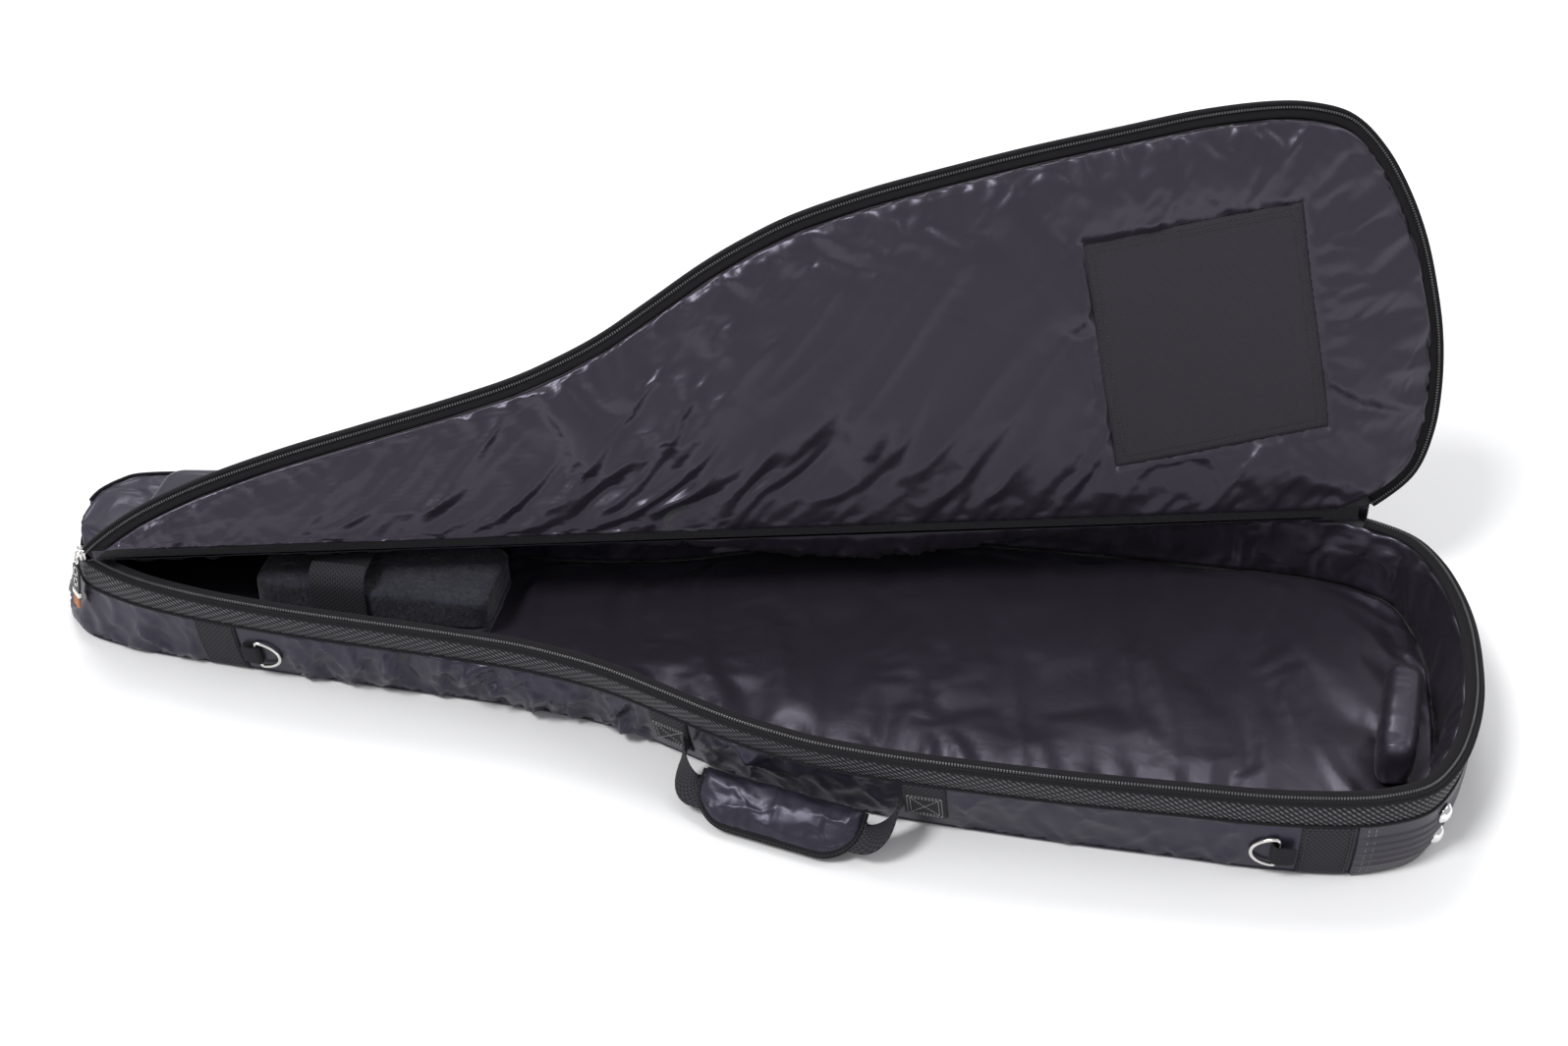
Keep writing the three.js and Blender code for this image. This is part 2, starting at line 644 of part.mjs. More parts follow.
// A flat pocket: padded gusset, zip round its side, padded front; slider and pull on one edge.
function addPocket(name, corners, parent, sliderEdge, sliderAt) {
  const radius = 16;
  const base = LID_TOP + GAP;
  const outline = roundedPolygon(corners, radius);
  add(`${name}_gusset`, prism(outline, POCKET_GUSSET_H), "nylon", parent).position.z = base;
  const ring = roundedPolygon(corners, radius);
  const middle = corners.reduce((sum, p) => sum.add(new THREE.Vector2(...p)), new THREE.Vector2());
  middle.divideScalar(corners.length);
  const inner = ring.getPoints(4).map((p) => p.clone().lerp(middle, 0.06)).reverse();
  ring.holes.push(new THREE.Path(inner.slice(1)));
  const zipZ = base + POCKET_GUSSET_H + GAP;
  add(`${name}_zip`, prism(ring, POCKET_ZIP_H), "teeth", parent).position.z = zipZ;
  const frontZ = zipZ + POCKET_ZIP_H + GAP;
  add(`${name}_front`, prism(outline, POCKET_FRONT_H), "nylon", parent).position.z = frontZ;

  // Local axes on the edge: x along it, y outward, z up.
  const start = new THREE.Vector2(...corners[sliderEdge]);
  const end = new THREE.Vector2(...corners[(sliderEdge + 1) % corners.length]);
  const along = end.clone().sub(start).normalize();
  const at = start.clone().addScaledVector(along, sliderAt);
  const out = vec(along.y, -along.x, 0);
  const basis = new THREE.Matrix4().makeBasis(vec(along.x, along.y, 0), out, vec(0, 0, -1));
  basis.setPosition(vec(at.x, at.y, zipZ));
  const frame = placed(basis, parent);
  const slider = prism(roundedPolygon(box2(-4.5, 4.5, GAP, 5.5), 1.2), POCKET_SLIDER_H, 2);
  add(`${name}_slider`, slider, "chrome", frame).position.z = -POCKET_PULL_Z + 1.4;
  const pull = Array.from({ length: 12 }, (_, i) => {
    const angle = (2 * Math.PI * i) / 12;
    return vec(6 * Math.cos(angle), 8 * Math.sin(angle), 0);
  });
  add(`${name}_pull`, wireLoop(pull, 1), "chrome", frame).position.set(0, -4, -POCKET_PULL_Z);
}

addBase();
addZip("base", TAPE_Z, CHAIN_Z, bag);
addLidLayers();
addZip("lid", LID_TAPE_Z, LID_CHAIN_Z, lid);
addBridgePatch();
addWallFittings();
addFeet();
addRing("head", -396, 1);
addRing("tail", 456, -1);
addHandle();
addNeckRest();
addTailPad();
addMainPuller();
addPocket("head_pocket", [[-512, -36], [-260, 14], [-260, 66], [-512, 30]], bag, 2, 146);
addPocket("music_pocket", [[110, -160], [500, -150], [556, -60], [556, 70], [490, 125], [110, 42]], lid, 0, 60);

export default bag;
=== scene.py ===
"""Padded gig bag for an electric bass, lid folded open. Lengths are in millimetres until a mesh is made."""

import json
import math

import bmesh
import bpy
import numpy as np
from mathutils import Matrix, Vector


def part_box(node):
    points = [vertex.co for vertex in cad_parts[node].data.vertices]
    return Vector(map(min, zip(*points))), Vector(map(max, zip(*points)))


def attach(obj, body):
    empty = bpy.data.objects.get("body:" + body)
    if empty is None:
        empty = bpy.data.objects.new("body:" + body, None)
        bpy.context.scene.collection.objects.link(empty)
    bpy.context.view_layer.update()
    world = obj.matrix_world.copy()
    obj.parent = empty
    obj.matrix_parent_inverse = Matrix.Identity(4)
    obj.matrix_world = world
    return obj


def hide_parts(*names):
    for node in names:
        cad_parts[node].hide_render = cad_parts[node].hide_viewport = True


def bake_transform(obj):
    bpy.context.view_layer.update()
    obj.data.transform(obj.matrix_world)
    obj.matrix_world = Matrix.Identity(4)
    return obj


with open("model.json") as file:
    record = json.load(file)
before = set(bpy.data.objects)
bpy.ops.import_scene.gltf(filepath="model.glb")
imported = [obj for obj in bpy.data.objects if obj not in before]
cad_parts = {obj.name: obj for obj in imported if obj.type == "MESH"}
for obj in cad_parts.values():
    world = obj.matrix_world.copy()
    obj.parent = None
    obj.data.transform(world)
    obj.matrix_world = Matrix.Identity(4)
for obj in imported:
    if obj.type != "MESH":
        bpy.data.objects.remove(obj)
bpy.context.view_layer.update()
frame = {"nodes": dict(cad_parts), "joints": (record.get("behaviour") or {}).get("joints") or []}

MM = 0.001
JOINTS = {joint["name"]: joint for joint in frame["joints"]}

# ---------- sizes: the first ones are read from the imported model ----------

WALL_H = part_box("rim_mesh_band")[1].z / MM
BAND_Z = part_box("rim_mesh_band")[0].z / MM
LID_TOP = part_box("hinge_strip_shell")[1].z / MM
FLOOR_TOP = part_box("back_panel_lining")[1].z / MM
CHAIN_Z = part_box("zip_chain_base")[0].z / MM
STRIP_LINING_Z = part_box("hinge_strip_lining")[0].z / MM
LINING_IN = 13.5  # from the wall's outer face to its lining
LID_DEPTH = LID_TOP - STRIP_LINING_Z
LID_OPEN = math.radians(109.85)
FOLD_REACH = 8  # how far the bend reaches on each side of the fold line
SHELL_T = 1.6
WALL_FOOT = 2.5  # where the outer nylon starts
WALL_SPAN = BAND_Z - 2.8  # and how high it is
TEETH_PITCH = 2.3
TAIL_GUARD_X = 513
BANDS = {"head": (-450, -412), "tail": (472, 510)}
HANDLE_ANCHORS = {"head": (-42, -8), "tail": (170, 204)}
HELD_DOWN = [(-452, -372), (-46, -4), (166, 208), (432, 512)]  # where fittings cover the near wall, along x
LID_TAPE_Z, LID_CHAIN_Z = 88.6, 87.0  # the lid's half of the zip, with the lid closed
FOOT_STATION = 24.5
HANDLE_DROP = 35  # how far the handle hangs below level, in degrees
GRIP = (20.0, 63.0)  # the grip's two long edges, from the handle's axis
GRIP_LENGTH = 134
GRIP_ROUND = 30  # the radius of its two free corners
PATCH_CENTRE = np.array([413.0, -7.0])
PATCH_HALF = np.array([92.0, 97.5])
PATCH_TURN = math.radians(3.2)
STITCH_RADIUS = 0.42


def node_box(node):
    """The low and high corners of a CAD node."""
    return (np.array(corner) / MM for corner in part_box(node))


def pivot_of(joint):
    """Where a joint turns."""
    return np.array(JOINTS[joint]["pos_m"]) / MM


FOLD_AT = pivot_of("lid_hinge")
FOLD_AXIS = -np.array(JOINTS["lid_hinge"]["axis"])
FOLD_NEAR = np.array([FOLD_AXIS[1], -FOLD_AXIS[0], 0.0])

HEAD_POCKET = [(-512, -36), (-260, 14), (-260, 66), (-512, 30)]
MUSIC_POCKET = [(110, -160), (500, -150), (556, -60), (556, 70), (490, 125), (110, 42)]


# ---------- noise ----------

def lattice_noise(x, y, seed):
    """Smooth noise from 0 to 1 on a repeating lattice of random heights."""
    size = 64
    table = np.random.default_rng(seed).random((size, size))
    x = np.asarray(x, float)
    y = np.asarray(y, float)
    i, j = np.floor(x).astype(int), np.floor(y).astype(int)
    fx, fy = x - i, y - j
    fx, fy = fx * fx * (3 - 2 * fx), fy * fy * (3 - 2 * fy)
    low = table[i % size, j % size] * (1 - fx) + table[(i + 1) % size, j % size] * fx
    high = table[i % size, (j + 1) % size] * (1 - fx) + table[(i + 1) % size, (j + 1) % size] * fx
    return low * (1 - fy) + high * fy


def creases(x, y, seed):
    """Sharp-topped folds from 0 to 1: two layers of ridged noise."""
    coarse = 1 - np.abs(2 * lattice_noise(x, y, seed) - 1)
    fine = 1 - np.abs(2 * lattice_noise(2.1 * x + 7, 2.1 * y + 3, seed + 1) - 1)
    return 0.7 * coarse**2 + 0.3 * fine**2


def smoothstep(low, high, x):
    """0 below low and 1 above high, with an eased rise between."""
    t = np.clip((np.asarray(x, float) - low) / (high - low), 0, 1)
    return t * t * (3 - 2 * t)


# ---------- outline and wall coordinates ----------

def ring_points(node, level, outer_of=None):
    """A node's corner points at a height; of two rings outer_of apart, the outer one."""
    points = np.array([v.co for v in frame["nodes"][node].data.vertices]) / MM
    points = np.unique(np.round(points[np.abs(points[:, 2] - level) < 0.05], 2), axis=0)
    if outer_of is None:
        return points
    gaps = np.linalg.norm(points[:, None] - points[None], axis=2)
    partner = points[np.argmin(np.abs(gaps - outer_of), axis=1)]
    spine = points * [1, 0, 0]
    spine[:, 0] = np.clip(spine[:, 0], -530, 500)
    outward = np.einsum("ij,ij->i", points - partner, points * [1, 1, 0] - spine)
    return points[outward > 0]


def ordered(points):
    """From the head centre along the near side to the tail centre, and back along the far side."""
    near = points[points[:, 1] < 0.05]
    far = points[points[:, 1] >= 0.05]
    return np.vstack([near[np.argsort(near[:, 0])], far[np.argsort(-far[:, 0])]])


def periodic(loop, t):
    """A smooth closed curve through the loop's points, at stations t."""
    t = np.asarray(t, float)
    i = np.floor(t).astype(int)
    f = (t - i)[..., None]
    count = len(loop)
    a, b, c, d = (loop[(i + k) % count] for k in (-1, 0, 1, 2))
    return 0.5 * (2 * b + (c - a) * f + (2 * a - 5 * b + 4 * c - d) * f**2 + (3 * b - a - 3 * c + d) * f**3)


def path_length(path):
    """How far each point of a path lies along it."""
    return np.concatenate([[0], np.cumsum(np.linalg.norm(np.diff(path, axis=0), axis=1))])


def outward_normals(loop, t):
    """The level direction straight out of a closed curve that runs anticlockwise, at stations t."""
    step = 0.02
    along = periodic(loop, t + step) - periodic(loop, t - step)
    normal = np.stack([along[..., 1], -along[..., 0], np.zeros_like(along[..., 0])], axis=-1)
    return normal / np.linalg.norm(normal, axis=-1, keepdims=True)


FLOOR_LOOP = ordered(ring_points("back_panel_shell", 0.0))
RIM_LOOP = ordered(ring_points("rim_mesh_band", WALL_H, SHELL_T))
RIM_LOOP[:, 2] = 0
STATIONS = len(FLOOR_LOOP)


def wall(t, s, z):
    """A point on the side wall: station t along the outline, offset s outward, height z."""
    t, s, z = np.broadcast_arrays(np.asarray(t, float), np.asarray(s, float), np.asarray(z, float))
    rise = np.clip(z / WALL_H, 0, 1)[..., None]
    foot = periodic(FLOOR_LOOP, t) + outward_normals(FLOOR_LOOP, t) * s[..., None]
    head = periodic(RIM_LOOP, t) + outward_normals(RIM_LOOP, t) * s[..., None]
    point = foot * (1 - rise) + head * rise
    point[..., 2] = z
    return point


FINE_T = np.linspace(0, STATIONS, 4001)
FINE_WALL = wall(FINE_T, 0, WALL_H / 2)
FINE_LENGTH = path_length(FINE_WALL)


def station_at(x):
    """The near-side station at x, halfway up the wall."""
    half = len(FINE_T) // 2
    return float(np.interp(x, FINE_WALL[:half, 0], FINE_T[:half]))


def even_stations(start, end, step):
    """Stations from start to end, evenly spaced along the wall, and their distance along it."""
    low, high = np.interp([start, end], FINE_T, FINE_LENGTH)
    lengths = np.linspace(low, high, max(2, int(round((high - low) / step)) + 1))
    return np.interp(lengths, FINE_LENGTH, FINE_T), lengths


def wall_basis(station, s, z):
    """Origin, direction along the wall, direction up it, and outward."""
    origin = wall(station, s, z)
    along = wall(station + 0.05, s, z) - wall(station - 0.05, s, z)
    along /= np.linalg.norm(along)
    up = wall(station, s, z + 1) - wall(station, s, z - 1)
    out = np.cross(along, up)
    out /= np.linalg.norm(out)
    return origin, along, np.cross(out, along), out


# ---------- the fold ----------

def fold_distance(points):
    """How far points lie from the fold line, on the opening side."""
    return (points - FOLD_AT) @ FOLD_NEAR


def turn_open(points, share=1.0):
    """Turns closed points about the fold line, by a share of the lid's opening."""
    angle = np.asarray(share, float) * LID_OPEN
    near = (points - FOLD_AT) @ FOLD_NEAR
    along = (points - FOLD_AT) @ FOLD_AXIS
    height = points[..., 2] - FOLD_AT[2]
    across = near * np.cos(angle) - height * np.sin(angle)
    lifted = near * np.sin(angle) + height * np.cos(angle)
    flat = FOLD_AT + along[..., None] * FOLD_AXIS + across[..., None] * FOLD_NEAR
    flat[..., 2] = FOLD_AT[2] + lifted
    return flat


LID_DOWN = turn_open(FOLD_AT - [0, 0, 1.0]) - turn_open(FOLD_AT)  # down on the closed lid, once it is open


def fold_open(points):
    """Opens the lid side of a closed panel, bending it close to the fold line."""
    return turn_open(points, smoothstep(-FOLD_REACH, FOLD_REACH, fold_distance(points)))


def fold_crossings():
    """The stations where the rim crosses the fold line, at the head and at the tail."""
    side = fold_distance(wall(FINE_T, 0, WALL_H)) > 0
    change = np.flatnonzero(side[1:] != side[:-1])
    return FINE_T[change[0]], FINE_T[change[-1]]


ZIP_START, ZIP_END = fold_crossings()


def edge_y(x, inset, far=False, height=WALL_H):
    """How far the rim lies from the middle line at x, less an inset: on the near side, or on the far side."""
    t = np.linspace(0, STATIONS / 2, 1200)
    rim = wall(STATIONS - t if far else t, -inset, height)
    return np.interp(x, rim[:, 0], np.abs(rim[:, 1]))


def rim_reach(inset):
    """The x of the head end and of the tail end of the rim, inside an inset."""
    return wall(0, -inset, WALL_H)[0], wall(STATIONS / 2, -inset, WALL_H)[0]


def fold_y(x):
    """Where the fold line lies at x."""
    return FOLD_AT[1] + (x - FOLD_AT[0]) * FOLD_AXIS[1] / FOLD_AXIS[0]


# ---------- meshes ----------

def mesh_object(name, points, faces, smooth=True):
    """An object in the scene, from points in millimetres."""
    mesh = bpy.data.meshes.new(name)
    mesh.from_pydata((np.asarray(points, float) * MM).tolist(), [], [tuple(map(int, f)) for f in faces])
    mesh.update()
    if smooth:
        mesh.polygons.foreach_set("use_smooth", [True] * len(mesh.polygons))
    obj = bpy.data.objects.new(name, mesh)
    bpy.context.scene.collection.objects.link(obj)
    return obj


def grid(name, points, uv, wrap_u=False, wrap_v=False, flip=False):
    """A surface through an array of points, nu by nv, with uv in millimetres (one extra row where it wraps)."""
    nu, nv = points.shape[:2]
    iu = np.arange(nu if wrap_u else nu - 1)
    jv = np.arange(nv if wrap_v else nv - 1)
    i, j = np.meshgrid(iu, jv, indexing="ij")
    corners = [(i, j), (i + 1, j), (i + 1, j + 1), (i, j + 1)]
    if flip:
        corners.reverse()
    faces = np.stack([((a % nu) * nv + (b % nv)).ravel() for a, b in corners], axis=1)
    obj = mesh_object(name, points.reshape(-1, 3), faces)
    u, v = uv
    layer = obj.data.uv_layers.new(name="UVMap")
    coords = np.stack([np.stack([u[a, b], v[a, b]], axis=-1).reshape(-1, 2) for a, b in corners], axis=1)
    layer.data.foreach_set("uv", (coords * MM).ravel())
    return obj


def uv_arrays(u, v):
    """The pattern coordinates of a grid from its columns and its rows."""
    return np.meshgrid(np.asarray(u, float), np.asarray(v, float), indexing="ij")


def one_more(values):
    """A row of values with the next one added, where a surface wraps round to its start."""
    return np.append(values, 2 * values[-1] - values[-2])


def finish_modifiers(obj):
    """Applies the object's modifiers to its mesh."""
    depsgraph = bpy.context.evaluated_depsgraph_get()
    mesh = bpy.data.meshes.new_from_object(obj.evaluated_get(depsgraph))
    obj.modifiers.clear()
    obj.data = mesh
    return obj


def thicken(obj, thickness, subdivide=0):
    """Gives a sheet its thickness, behind its face, and rounds it. With no thickness it only rounds."""
    if thickness:
        solid = obj.modifiers.new("thickness", "SOLIDIFY")
        solid.thickness = thickness * MM
        solid.offset = -1
    if subdivide:
        fine = obj.modifiers.new("fine", "SUBSURF")
        fine.levels = fine.render_levels = subdivide
    return finish_modifiers(obj)


def join_meshes(name, objects):
    """One mesh object from several, keeping their uv."""
    merged = bmesh.new()
    for obj in objects:
        merged.from_mesh(obj.data)
    mesh = bpy.data.meshes.new(name)
    merged.to_mesh(mesh)
    merged.free()
    for obj in objects:
        bpy.data.objects.remove(obj)
    joined = bpy.data.objects.new(name, mesh)
    bpy.context.scene.collection.objects.link(joined)
    return joined


def tube(name, path, radius, sides=8, closed=False, flatten=1.0, up=(0, 0, 1)):
    """A round or flattened cord along a path; uv runs along it and round it."""
    path = np.asarray(path, float)
    if closed:
        along = np.roll(path, -1, 0) - np.roll(path, 1, 0)
    else:
        along = np.gradient(path, axis=0)
    along /= np.linalg.norm(along, axis=1, keepdims=True)
    side = np.cross(along, np.asarray(up, float))
    side /= np.maximum(np.linalg.norm(side, axis=1, keepdims=True), 1e-6)
    lift = np.cross(side, along)
    angle = np.linspace(0, 2 * math.pi, sides, endpoint=False)
    points = (
        path[:, None]
        + radius * np.cos(angle)[None, :, None] * side[:, None]
        + radius * flatten * np.sin(angle)[None, :, None] * lift[:, None]
    )
    lengths = path_length(path)
    if closed:
        lengths = np.append(lengths, lengths[-1] + np.linalg.norm(path[0] - path[-1]))
    uv = uv_arrays(lengths, np.linspace(0, 2 * math.pi * radius, sides + 1))
    obj = grid(name, points, uv, wrap_u=closed, wrap_v=True)
    if not closed:
        cap_ends(obj, len(path), sides)
    return obj


def cap_ends(obj, rows, sides):
    """Closes the first and last ring of a tube."""
    shape = bmesh.new()
    shape.from_mesh(obj.data)
    shape.verts.ensure_lookup_table()
    shape.faces.new([shape.verts[k] for k in range(sides)])
    last = (rows - 1) * sides
    shape.faces.new([shape.verts[last + k] for k in reversed(range(sides))])
    bmesh.ops.recalc_face_normals(shape, faces=shape.faces)
    shape.to_mesh(obj.data)
    shape.free()


def thread(name, start_points, end_points, normals, radius, sides=5):
    """Stitches: one short rounded thread from each start to each end, bowed off the cloth."""
    starts, ends = np.asarray(start_points, float), np.asarray(end_points, float)
    normals = np.asarray(normals, float)
    along = ends - starts
    side = np.cross(along, normals)
    side /= np.linalg.norm(side, axis=1, keepdims=True)
    profile = [(0.0, 0.25, -0.35), (0.18, 0.9, 0.2), (0.5, 1.0, 0.45), (0.82, 0.9, 0.2), (1.0, 0.25, -0.35)]
    angle = np.linspace(0, 2 * math.pi, sides, endpoint=False)
    rings = []
    for share, wide, lift in profile:
        centre = starts + along * share + normals * (lift * radius)
        ring = (
            centre[:, None]
            + wide * radius * np.cos(angle)[None, :, None] * side[:, None]
            + wide * radius * np.sin(angle)[None, :, None] * normals[:, None]
        )
        rings.append(ring)
    points = np.stack(rings, axis=1)
    count, steps = points.shape[:2]
    faces = []
    base = np.arange(count) * steps * sides
    for k in range(steps - 1):
        for m in range(sides):
            n = (m + 1) % sides
            quad = [k * sides + m, k * sides + n, (k + 1) * sides + n, (k + 1) * sides + m]
            faces.append(base[:, None] + np.array(quad)[None])
    first_cap = base[:, None] + np.arange(sides)[::-1][None]
    last_cap = base[:, None] + ((steps - 1) * sides + np.arange(sides))[None]
    faces = [*np.concatenate(faces).tolist(), *first_cap.tolist(), *last_cap.tolist()]
    return mesh_object(name, points.reshape(-1, 3), faces)


def stitch_run(path, normals, pitch=3.2, fill=0.72):
    """Starts, ends and normals of the stitches along a path."""
    path, normals = np.asarray(path, float), np.asarray(normals, float)
    lengths = path_length(path)
    count = max(1, int(lengths[-1] / pitch))
    begin = (np.arange(count) + (1 - fill) / 2) * lengths[-1] / count
    finish = begin + fill * lengths[-1] / count

    def at(values, where):
        return np.stack([np.interp(where, lengths, values[:, k]) for k in range(3)], axis=1)

    across = at(normals, begin)
    across /= np.linalg.norm(across, axis=1, keepdims=True)
    return at(path, begin), at(path, finish), across


def stitches(name, runs, radius):
    """One mesh of stitches from several runs."""
    parts = [np.concatenate(part) for part in zip(*runs)]
    return thread(name, *parts, radius=radius)


# ---------- materials ----------

class Shader:
    """A node material with a Principled shader; helper calls return output sockets."""

    def __init__(self, name, colour, roughness, metallic=0.0, specular=0.5, sheen=0.0, gloss=(1, 1, 1)):
        self.material = bpy.data.materials.new(name)
        self.material.use_nodes = True
        self.tree = self.material.node_tree
        self.shader = self.tree.nodes["Principled BSDF"]
        self.colour = (*colour, 1)
        self.shader.inputs["Base Color"].default_value = self.colour
        self.shader.inputs["Roughness"].default_value = roughness
        self.shader.inputs["Metallic"].default_value = metallic
        self.shader.inputs["Specular IOR Level"].default_value = specular
        self.shader.inputs["Sheen Weight"].default_value = sheen
        self.shader.inputs["Sheen Roughness"].default_value = 0.4
        self.shader.inputs["Specular Tint"].default_value = (*gloss, 1)

    def node(self, kind, **settings):
        node = self.tree.nodes.new(kind)
        for key, value in settings.items():
            setattr(node, key, value)
        return node

    def link(self, source, target):
        self.tree.links.new(source, target)

    def put(self, socket, value):
        if isinstance(value, (int, float)):
            socket.default_value = value
        else:
            self.link(value, socket)

    def math(self, operation, a, b=None, clamp=False):
        node = self.node("ShaderNodeMath", operation=operation, use_clamp=clamp)
        self.put(node.inputs[0], a)
        if b is not None:
            self.put(node.inputs[1], b)
        return node.outputs[0]

    def uv(self):
        """The uv map in millimetres, as two sockets."""
        where = self.node("ShaderNodeUVMap", uv_map="UVMap")
        split = self.node("ShaderNodeSeparateXYZ")
        self.link(where.outputs["UV"], split.inputs[0])
        return self.math("MULTIPLY", split.outputs[0], 1 / MM), self.math("MULTIPLY", split.outputs[1], 1 / MM)

    def noise(self, scale, detail=2.0, vector=None, distortion=0.0):
        """Noise in object space: scale is in cycles per metre."""
        if vector is None:
            vector = self.node("ShaderNodeTexCoord").outputs["Object"]
        noise = self.node("ShaderNodeTexNoise")
        noise.inputs["Scale"].default_value = scale
        noise.inputs["Detail"].default_value = detail
        noise.inputs["Distortion"].default_value = distortion
        self.link(vector, noise.inputs["Vector"])
        return noise.outputs["Fac"]

    def wave(self, value, period, phase=0.0):
        """A sine from 0 to 1 along a value in millimetres."""
        turned = self.math("ADD", self.math("MULTIPLY", value, 2 * math.pi / period), phase)
        return self.math("MULTIPLY", self.math("ADD", self.math("SINE", turned), 1.0), 0.5)

    def bump(self, height, distance, strength=1.0):
        """Adds a bump, in millimetres, on top of the ones already there."""
        node = self.node("ShaderNodeBump")
        node.inputs["Strength"].default_value = strength
        node.inputs["Distance"].default_value = distance * MM
        self.link(height, node.inputs["Height"])
        target = self.shader.inputs["Normal"]
        if target.is_linked:
            self.link(target.links[0].from_socket, node.inputs["Normal"])
        self.link(node.outputs[0], target)

    def tint(self, factor, dark, light):
        """Base colour between dark and light, by a factor."""
        ramp = self.node("ShaderNodeValToRGB")
        ramp.color_ramp.elements[0].color = (*dark, 1)
        ramp.color_ramp.elements[1].color = (*light, 1)
        self.link(factor, ramp.inputs["Fac"])
        self.link(ramp.outputs["Color"], self.shader.inputs["Base Color"])
        return ramp

    def vary_roughness(self, factor, low, high):
        node = self.node("ShaderNodeMapRange")
        node.inputs["To Min"].default_value = low
        node.inputs["To Max"].default_value = high
        self.link(factor, node.inputs["Value"])
        self.link(node.outputs[0], self.shader.inputs["Roughness"])


def scaled(colour, factor):
    """A colour made darker or lighter."""
    return tuple(c * factor for c in colour)


def shiny_cloth(look, colour, thread, cloud, shades, shine, crumple, relief, weave_relief):
    """Mottled, creased cloth with a fine plain weave: thread is the weave's pitch, cloud the mottling's scale,
    shine a noise scale with its two roughnesses, and crumple a noise's scale, detail and distortion."""
    u, v = look.uv()
    weave = look.math("MULTIPLY", look.wave(u, thread), look.wave(v, thread))
    look.tint(look.noise(cloud, 3), *(scaled(colour, shade) for shade in shades))
    look.vary_roughness(look.noise(shine[0], 3), *shine[1:])
    look.bump(look.noise(*crumple[:2], distortion=crumple[2]), *relief)
    look.bump(weave, *weave_relief)
    return look.material


def nylon_material():
    look = Shader("glossy_nylon", NAVY, 0.35, specular=0.55, sheen=0.04, gloss=(0.84, 0.8, 1.0))
    return shiny_cloth(look, NAVY, 1.1, 9, (0.82, 1.2), (30, 0.3, 0.42), (70, 3, 0.6), (0.5, 0.5), (0.06, 0.35))


def lining_material():
    look = Shader("satin_lining", PLUM, 0.32, specular=0.65, sheen=0.03, gloss=(0.86, 0.8, 1.0))
    return shiny_cloth(look, PLUM, 0.9, 7, (0.85, 1.18), (24, 0.27, 0.38), (55, 4, 0.8), (0.6, 0.5), (0.05, 0.3))


def webbing_material(name, row=1.5, pitch=3.0, colour=(0.016, 0.015, 0.018)):
    """Woven tape: rows across its width, each broken into raised picks."""
    look = Shader(name, colour, 0.8, specular=0.12, sheen=0.03)
    u, v = look.uv()
    step = look.math("MULTIPLY", look.math("FLOOR", look.math("DIVIDE", v, row)), pitch / 2)
    picks = look.wave(look.math("ADD", u, step), pitch)
    rows = look.wave(v, row)
    height = look.math("ADD", look.math("MULTIPLY", picks, 0.6), look.math("MULTIPLY", rows, 0.5))
    # Painted shade and highlight: the colour follows the weave's height, darker in the grooves between rows and
    # picks and lighter on the raised picks.
    look.tint(look.math("MULTIPLY", height, 0.9), scaled(colour, 0.45), scaled(colour, 2.1))
    look.bump(height, 0.35, 0.8)
    look.bump(look.noise(260, 2), 0.2, 0.25)
    return look.material


def mesh_band_material():
    """Coarse diagonal weave: slanted picks over gaps, coloured with painted highlights on the picks and painted
    shade in the gaps.
    """
    look = Shader("diagonal_mesh", (0.02, 0.02, 0.024), 0.6, specular=0.2)
    u, v = look.uv()
    slant = look.math("ADD", look.math("MULTIPLY", u, 0.82), look.math("MULTIPLY", v, 0.9))
    cross = look.math("ADD", look.math("MULTIPLY", u, 0.5), look.math("MULTIPLY", v, -0.9))
    picks = look.wave(slant, 4.2)
    breaks = look.wave(cross, 5.6)
    height = look.math("MULTIPLY", look.math("POWER", picks, 2.2), look.math("ADD", breaks, 0.2))
    # Painted highlight and shade: the colour follows the weave's height, light grey on the picks and near black in
    # the gaps.
    look.tint(height, (0.004, 0.004, 0.005), (0.21, 0.2, 0.22))
    look.bump(height, 1.1, 1.0)
    return look.material


def plain_material(name, colour, roughness, mottle, shades, grain, relief, **more):
    """A colour mottled between two shades, with a fine grain: mottle and grain are a noise's scale and detail,
    and relief is the grain's height and strength."""
    look = Shader(name, colour, roughness, **more)
    look.tint(look.noise(*mottle), *shades)
    look.bump(look.noise(*grain), *relief)
    return look.material


def vinyl_material():
    look = Shader("ribbed_vinyl", (0.028, 0.026, 0.033), 0.42, specular=0.55, gloss=(0.9, 0.86, 1.0))
    look.tint(look.noise(40, 4), (0.022, 0.020, 0.026), (0.036, 0.034, 0.043))
    look.vary_roughness(look.noise(60, 3), 0.24, 0.38)
    grain = look.node("ShaderNodeTexVoronoi", feature="DISTANCE_TO_EDGE")
    grain.inputs["Scale"].default_value = 700
    look.link(look.node("ShaderNodeTexCoord").outputs["Object"], grain.inputs["Vector"])
    look.bump(grain.outputs["Distance"], 0.5, 0.35)
    return look.material


def metal_material(name, colour, roughness):
    look = Shader(name, colour, roughness, metallic=1.0)
    look.vary_roughness(look.noise(180, 4), roughness * 0.7, roughness * 1.7)
    look.bump(look.noise(1500, 3), 0.05, 0.12)
    return look.material


def fleece_material():
    look = Shader("plush", (0.016, 0.016, 0.022), 0.95, specular=0.08, sheen=0.2)
    clumps = look.noise(160, 5, distortion=1.2)
    # Painted shade and highlight: the colour follows the clumps that also make the bump, darker in the hollows
    # between them and lighter on their tops.
    look.tint(clumps, (0.010, 0.010, 0.014), (0.062, 0.062, 0.08))
    look.bump(clumps, 2.2, 0.9)
    look.bump(look.noise(900, 3), 0.8, 0.6)
    return look.material


